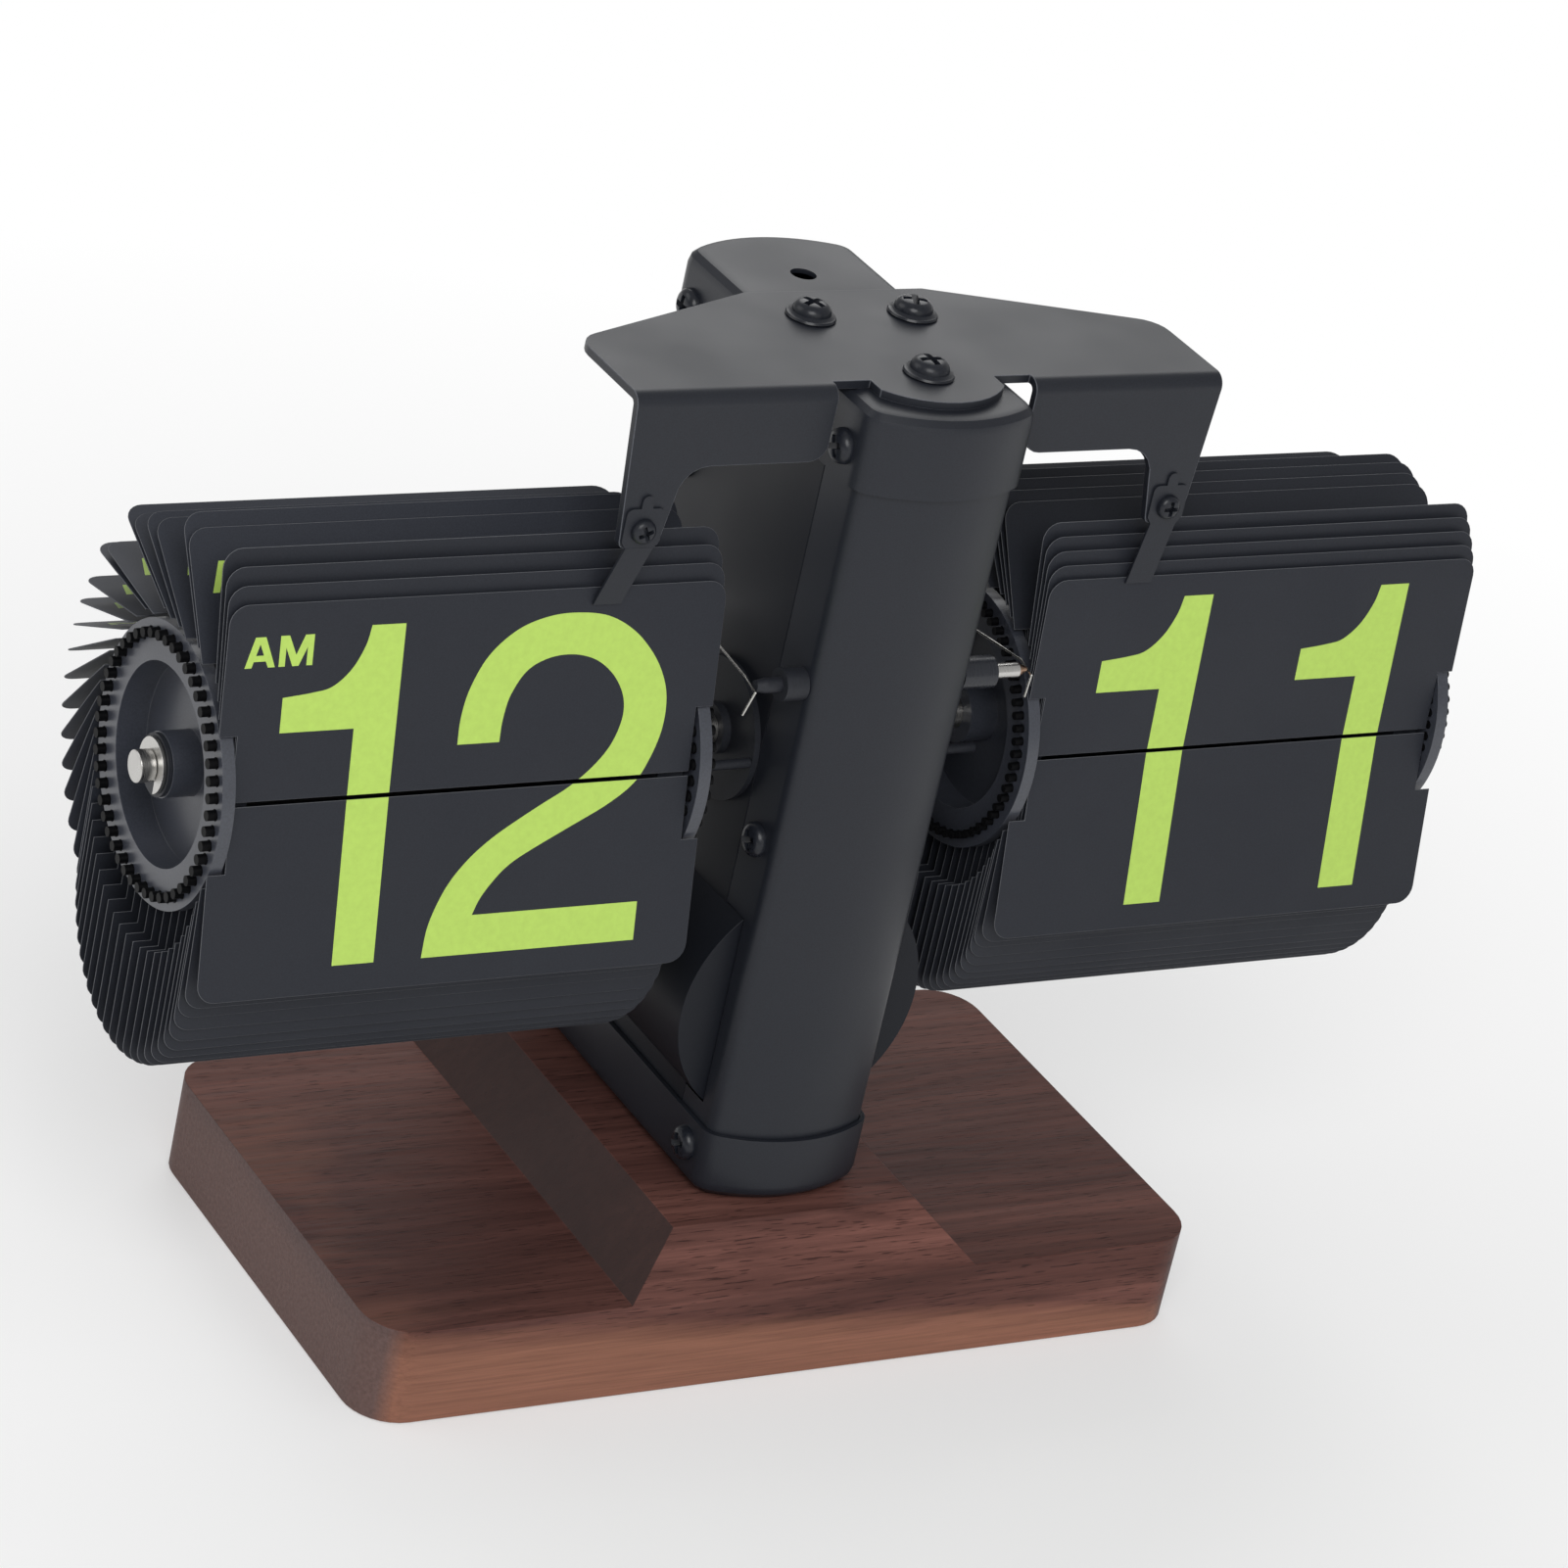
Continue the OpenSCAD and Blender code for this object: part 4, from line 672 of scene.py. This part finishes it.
def cross_cutter(width, reach, top, depth):
    """A tapered cross that cuts the screw head's recess."""
    bm = bmesh.new()
    rings = []
    for scale, height in ((1.0, top + 0.001), (0.98, top), (0.55, top - depth)):
        arm = [Vector((reach * scale, -width, height)), Vector((reach * scale, width, height)),
               Vector((width, width, height))]
        rings.append([bm.verts.new(Matrix.Rotation(math.pi / 2 * turn, 3, "Z") @ point)
                      for turn in range(4) for point in arm])
    bm.faces.new(rings[0])
    bm.faces.new(rings[-1][::-1])
    for a, b in zip(rings, rings[1:]):
        for i in range(len(a)):
            j = (i + 1) % len(a)
            bm.faces.new((a[i], b[i], b[j], a[j]))
    bmesh.ops.recalc_face_normals(bm, faces=bm.faces[:])
    mesh = bpy.data.meshes.new("cross")
    bm.to_mesh(mesh)
    bm.free()
    return mesh


# Shares of a screw head's radius that its cross recess takes
RECESS_WIDTH = 0.17
RECESS_REACH = 0.66
RECESS_DEPTH = 0.45


def recessed_screw(profile, head_r, top):
    """The mesh of one screw with its cross recess, without slivers."""
    bm = bmesh.new()
    lathe(bm, profile)
    mesh = bpy.data.meshes.new("screw")
    bm.to_mesh(mesh)
    bm.free()
    body = bpy.data.objects.new("screw_blank", mesh)
    cross = cross_cutter(head_r * RECESS_WIDTH, head_r * RECESS_REACH, top, head_r * RECESS_DEPTH)
    cutter = bpy.data.objects.new("screw_cross", cross)
    for obj in (body, cutter):
        bpy.context.scene.collection.objects.link(obj)
    cut = body.modifiers.new("recess", "BOOLEAN")
    cut.object = cutter
    cut.solver = "EXACT"
    bpy.context.view_layer.update()
    made = bpy.data.meshes.new_from_object(body.evaluated_get(bpy.context.evaluated_depsgraph_get()))
    bpy.data.objects.remove(body)
    bpy.data.objects.remove(cutter)
    bm = bmesh.new()
    bm.from_mesh(made)
    bmesh.ops.remove_doubles(bm, verts=bm.verts[:], dist=WELD_REACH)
    bmesh.ops.triangulate(bm, faces=[face for face in bm.faces if len(face.verts) > 4])
    bmesh.ops.dissolve_degenerate(bm, dist=WELD_REACH, edges=bm.edges[:])
    bm.to_mesh(made)
    bm.free()
    return made


# Turns of the screws' recesses in degrees
FIRST_TURN = 23
NEXT_TURN = 67


def upward(middle):
    return Vector((0, 0, 1))


def forward(middle):
    return Vector((0, -1, 0))


def sideways(middle):
    return Vector((math.copysign(1, middle.x), 0, 0))


def screw_set(name, node, head, outward):
    """Stands one domed screw in the place of each screw of a CAD node, each turned another way."""
    bm = bmesh.new()
    blank = recessed_screw(**head)
    spots = []
    for points in islands(node):
        middle = Vector((points.min(0) + points.max(0)) / 2)
        out = outward(middle)
        seat = max(points @ np.array(out))
        turn = out.to_track_quat("Z", "Y").to_matrix().to_4x4()
        centre = middle - out * middle.dot(out)
        spots.append((Matrix.Translation(centre + out * (seat - head["top"])) @ turn, middle))
    for index, (place, middle) in enumerate(sorted(spots, key=lambda spot: tuple(spot[1]))):
        copy = blank.copy()
        copy.transform(place @ Matrix.Rotation(math.radians(FIRST_TURN + NEXT_TURN * index), 4, "Z"))
        bm.from_mesh(copy)
        bpy.data.meshes.remove(copy)
    mesh = bpy.data.meshes.new(name)
    bm.to_mesh(mesh)
    bm.free()
    for face in mesh.polygons:
        face.use_smooth = True
    mesh.set_sharp_from_angle(angle=math.radians(38))
    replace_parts(piece_from(name, mesh, "screw", ROOT), node)


# Operators

class FLIPCLOCK_OT_base(bpy.types.Operator):
    """Finish the walnut base, its pads and the screws below it"""
    bl_idname = "flip_clock.base"
    bl_label = "Base"

    def execute(self, context):
        dress(["wood_base"], "walnut", ease=sizes().wood_ease, segments=3)
        dress(["base_pads"], "felt")
        dress(["base_screws"], "zinc")
        return {"FINISHED"}


class FLIPCLOCK_OT_column(bpy.types.Operator):
    """Paint the column's covers, side plates, cap and tray"""
    bl_idname = "flip_clock.column"
    bl_label = "Column"

    def execute(self, context):
        ease = sizes().sheet_ease
        # The edge material on the front cover's and bracket's bevels is a painted highlight
        dress(["front_cover"], "paint", "sheet_edge_highlight", ease=ease, edge=1)
        dress(["rear_cover"], "paint", ease=ease)
        # The side plates' darker paint is painted shade
        dress(["left_side_plate", "right_side_plate"], "side_plates_paint_shade", ease=ease)
        dress(["top_cap", "bottom_tray"], "paint", ease=ease * 2, limit=20)
        dress(["bridge_bracket"], "paint", "sheet_edge_highlight", ease=ease * 1.3, segments=3, edge=1)
        dress(["hour_finger", "minute_finger"], "paint", ease=ease * 0.4)
        return {"FINISHED"}


class FLIPCLOCK_OT_screws(bpy.types.Operator):
    """Make the black screws with their cross recesses"""
    bl_idname = "flip_clock.screws"
    bl_label = "Screws"

    def execute(self, context):
        large = dict(profile=screw_profile(0.0019, 0.0031, 0.0019, 0.004, 0.004, 0.0007), head_r=0.0031, top=0.0026)
        side = dict(profile=screw_profile(0.00145, 0.0028, 0.0018, 0.003), head_r=0.0028, top=0.0018)
        small = dict(profile=screw_profile(0.00095, 0.002, 0.0013, 0.0025), head_r=0.002, top=0.0013)
        screw_set("bracket_screws_domed", "bracket_screws", large, upward)
        for node in ("cap_screws", "tray_screws", "frame_screws"):
            screw_set(f"{node}_domed", node, side, sideways)
        screw_set("finger_screws_domed", "finger_screws", small, forward)
        return {"FINISHED"}


class FLIPCLOCK_OT_reels(bpy.types.Operator):
    """Finish the discs, spools and shafts of both reels"""
    bl_idname = "flip_clock.reels"
    bl_label = "Reels"

    def execute(self, context):
        ease = sizes().moulding_ease
        for reel in ("hour", "minute"):
            # The discs' lighter colour is painted light
            dress([f"{reel}_outer_disc", f"{reel}_inner_disc"], "disc", ease=ease)
            dress([f"{reel}_drum_core", f"{reel}_end_washer"], "moulding")
            dress([f"{reel}_flap_pins"], "pin")
            dress([f"{reel}_shaft", f"{reel}_end_clip"], "steel", ease=ease)
        return {"FINISHED"}


class FLIPCLOCK_OT_flaps(bpy.types.Operator):
    """Finish the flaps, with a painted highlight along their cut edges"""
    bl_idname = "flip_clock.flaps"
    bl_label = "Flaps"

    def execute(self, context):
        groups = ("front_flap", "upper_flaps", "lower_flaps")
        ease = sizes().flap_ease
        dress([f"{reel}_{group}" for reel in ("hour", "minute") for group in groups] + ["minute_rear_flaps"],
              "flap", "flap_rim_highlight", ease=ease, segments=1, edge=1)
        # The hour's rear flaps get the lighter sheet as painted light
        dress(["hour_rear_flaps"], "lit_rear_flap", "flap_rim_highlight", ease=ease, segments=1, edge=1)
        return {"FINISHED"}


class FLIPCLOCK_OT_numerals(bpy.types.Operator):
    """Print the hour and the minute on the flaps"""
    bl_idname = "flip_clock.numerals"
    bl_label = "Numerals"

    def execute(self, context):
        jobs = {
            "hour_flap_print": ("hour_flap", [("hour_front_flap", 0, hour_line("12"), True, True),
                                              ("hour_front_flap", 0, hour_line("12"), False, False)]),
            "hour_stack_print": (ROOT, [("hour_lower_flaps", -1, hour_line("12"), False, False)]
                                 + following("hour", lambda step: hour_line(hour_after(step)))),
            "minute_flap_print": ("minute_flap", [("minute_front_flap", 0, minute_line("11"), True, True),
                                                  ("minute_front_flap", 0, minute_line("12"), False, False)]),
            "minute_stack_print": (ROOT, [("minute_lower_flaps", -1, minute_line("11"), False, False)]
                                   + following("minute", lambda step: minute_line(str(11 + step)))),
        }
        for name, (body, lines) in jobs.items():
            bm = bmesh.new()
            for node, index, glyphs, upper, on_front in lines:
                print_coat(bm, leaves(node)[index], glyphs, upper, on_front)
            mesh = bpy.data.meshes.new(name)
            bm.to_mesh(mesh)
            bm.free()
            piece_from(name, mesh, "ink", body)
        return {"FINISHED"}


class FLIPCLOCK_OT_movement(bpy.types.Operator):
    """Finish the gear train, the motor, the springs and the battery pieces"""
    bl_idname = "flip_clock.movement"
    bl_label = "Movement"

    def execute(self, context):
        dress(["gear_plate", "hour_wheel", "minute_pinion", "minute_wheel", "lay_wheel", "lay_pinion"], "brass")
        dress(["plate_pillars", "lay_shaft", "motor_pinion"], "steel")
        dress(["minute_spring_post"], "post")
        dress(["hour_spring_post", "hour_bush", "minute_bush"], "moulding")
        dress(["hour_click_spring", "minute_click_spring"], "wire")
        dress(["motor_screws"], "zinc")
        dress(["motor_case", "battery_tube"], "moulding")
        dress(["battery_cap"], "moulding", ease=sizes().moulding_ease * 2)
        dress(["battery_cell"], "cell")
        dress(["battery_contacts"], "nickel")
        return {"FINISHED"}


FLOOR_DROP = 0.0002
LAMP_AIM = Vector((0, 0, 0.09))
# Place and size of each lamp
LAMPS = {
    "key": ((-0.45, -0.8, 0.85), 0.75),
    "fill": ((0.05, -1.15, 0.5), 0.9),
    "rear": ((0.45, 0.8, 0.8), 0.8),
    "side": ((-0.85, 0.5, 0.7), 0.8),
}
CAMERA_PLACE = Vector((-0.473257, -0.690183, 0.499940))
CAMERA_RIGHT = Vector((0.858818959, -0.472037452, 0.19902422))
CAMERA_UP = Vector((0.062669503, 0.482399335, 0.87370671))
CAMERA_BACK = Vector((-0.50843144, -0.737883138, 0.443876047))


def pale_floor(radius, shade):
    """A round floor that keeps the shadow near the clock and fades to white further out."""
    bm = bmesh.new()
    bmesh.ops.create_circle(bm, cap_ends=True, segments=96, radius=radius)
    mesh = bpy.data.meshes.new("floor")
    bm.to_mesh(mesh)
    bm.free()
    floor = bpy.data.objects.new("floor", mesh)
    floor.location.z = -FLOOR_DROP
    bpy.context.scene.collection.objects.link(floor)
    f = Finish("floor_paper", shade, 0.9, Specular_IOR_Level=0.1)
    far = f.node("ShaderNodeVectorMath", {0: f.place}, operation="LENGTH").outputs["Value"]
    path = f.node("ShaderNodeLightPath").outputs
    rays = f.maths("ADD", path["Is Camera Ray"], path["Is Glossy Ray"])
    rays = f.node("ShaderNodeMath", {0: rays, 1: path["Is Transmission Ray"]}, operation="ADD", use_clamp=True)
    fade = f.maths("MULTIPLY", rays.outputs[0], f.span(far, 0.35, 1.0, 0.1, 0.4))
    glow = f.node("ShaderNodeEmission", values={"Strength": 1.0})
    both = f.node("ShaderNodeMixShader", {0: fade, 1: f.shader.outputs[0], 2: glow.outputs[0]})
    f.links.new(both.outputs[0], f.nodes["Material Output"].inputs["Surface"])
    mesh.materials.append(f.material)


def white_room(ambient):
    """An even world that is white behind the clock and lights it at the ambient strength."""
    world = bpy.data.worlds.new("studio")
    bpy.context.scene.world = world
    world.use_nodes = True
    nodes, links = world.node_tree.nodes, world.node_tree.links
    path = nodes.new("ShaderNodeLightPath")
    shown = nodes.new("ShaderNodeMath")
    shown.operation = "ADD"
    links.new(path.outputs["Is Camera Ray"], shown.inputs[0])
    links.new(path.outputs["Is Transmission Ray"], shown.inputs[1])
    level = nodes.new("ShaderNodeMapRange")
    level.inputs["To Min"].default_value = ambient
    level.inputs["To Max"].default_value = 1.0
    links.new(shown.outputs[0], level.inputs["Value"])
    links.new(level.outputs[0], nodes["Background"].inputs["Strength"])
    nodes["Background"].inputs["Color"].default_value = (1, 1, 1, 1)


def soft_lamp(name, place, size, energy):
    """A round area lamp that points at the clock."""
    lamp = bpy.data.lights.new(name, "AREA")
    lamp.shape = "DISK"
    lamp.size = size
    lamp.energy = energy
    obj = bpy.data.objects.new(name, lamp)
    obj.location = place
    obj.rotation_euler = (LAMP_AIM - Vector(place)).to_track_quat("-Z", "Y").to_euler()
    bpy.context.scene.collection.objects.link(obj)


def photo_camera(focal_length):
    """The camera at the photograph's angle."""
    lens = bpy.data.cameras.new("camera")
    lens.sensor_width = 36
    lens.lens = focal_length
    lens.clip_start = 0.05
    camera = bpy.data.objects.new("camera", lens)
    turn = Matrix((CAMERA_RIGHT, CAMERA_UP, CAMERA_BACK)).transposed().to_4x4()
    camera.matrix_world = Matrix.Translation(CAMERA_PLACE) @ turn
    bpy.context.scene.collection.objects.link(camera)
    bpy.context.scene.camera = camera


class FLIPCLOCK_OT_stage(bpy.types.Operator):
    """Make the pale floor, the soft lamps and the camera"""
    bl_idname = "flip_clock.stage"
    bl_label = "Stage"

    def execute(self, context):
        s = stage()
        pale_floor(s.floor_size, list(s.floor_colour))
        white_room(s.ambient)
        for name, (place, size) in LAMPS.items():
            soft_lamp(f"{name}_lamp", place, size, getattr(s, f"{name}_power"))
        photo_camera(s.focal_length)
        context.scene.view_settings.view_transform = "Standard"
        return {"FINISHED"}


class FLIPCLOCK_PT_panel(bpy.types.Panel):
    """Lists the clock's pieces and their settings"""
    bl_label = "Flip Clock"
    bl_idname = "FLIPCLOCK_PT_panel"
    bl_space_type = "VIEW_3D"
    bl_region_type = "UI"
    bl_category = "Flip Clock"

    def draw(self, context):
        for operator in OPERATORS:
            self.layout.operator(operator.bl_idname)
        for group in ("flip_clock_colours", "flip_clock_sizes", "flip_clock_stage"):
            box = self.layout.box()
            settings = getattr(context.scene, group)
            for key in settings.__annotations__:
                box.prop(settings, key)


OPERATORS = (FLIPCLOCK_OT_base, FLIPCLOCK_OT_column, FLIPCLOCK_OT_screws, FLIPCLOCK_OT_reels, FLIPCLOCK_OT_flaps,
             FLIPCLOCK_OT_numerals, FLIPCLOCK_OT_movement, FLIPCLOCK_OT_stage)
CLASSES = (FlipClockColours, FlipClockSizes, FlipClockStage, *OPERATORS, FLIPCLOCK_PT_panel)


def register():
    for cls in CLASSES:
        bpy.utils.register_class(cls)
    bpy.types.Scene.flip_clock_colours = PointerProperty(type=FlipClockColours)
    bpy.types.Scene.flip_clock_sizes = PointerProperty(type=FlipClockSizes)
    bpy.types.Scene.flip_clock_stage = PointerProperty(type=FlipClockStage)


def unregister():
    del bpy.types.Scene.flip_clock_stage
    del bpy.types.Scene.flip_clock_sizes
    del bpy.types.Scene.flip_clock_colours
    for cls in reversed(CLASSES):
        bpy.utils.unregister_class(cls)


def main():
    register()
    bpy.ops.flip_clock.base()
    bpy.ops.flip_clock.column()
    bpy.ops.flip_clock.screws()
    bpy.ops.flip_clock.reels()
    bpy.ops.flip_clock.flaps()
    bpy.ops.flip_clock.numerals()
    bpy.ops.flip_clock.movement()
    bpy.ops.flip_clock.stage()


if __name__ == "__main__":
    main()
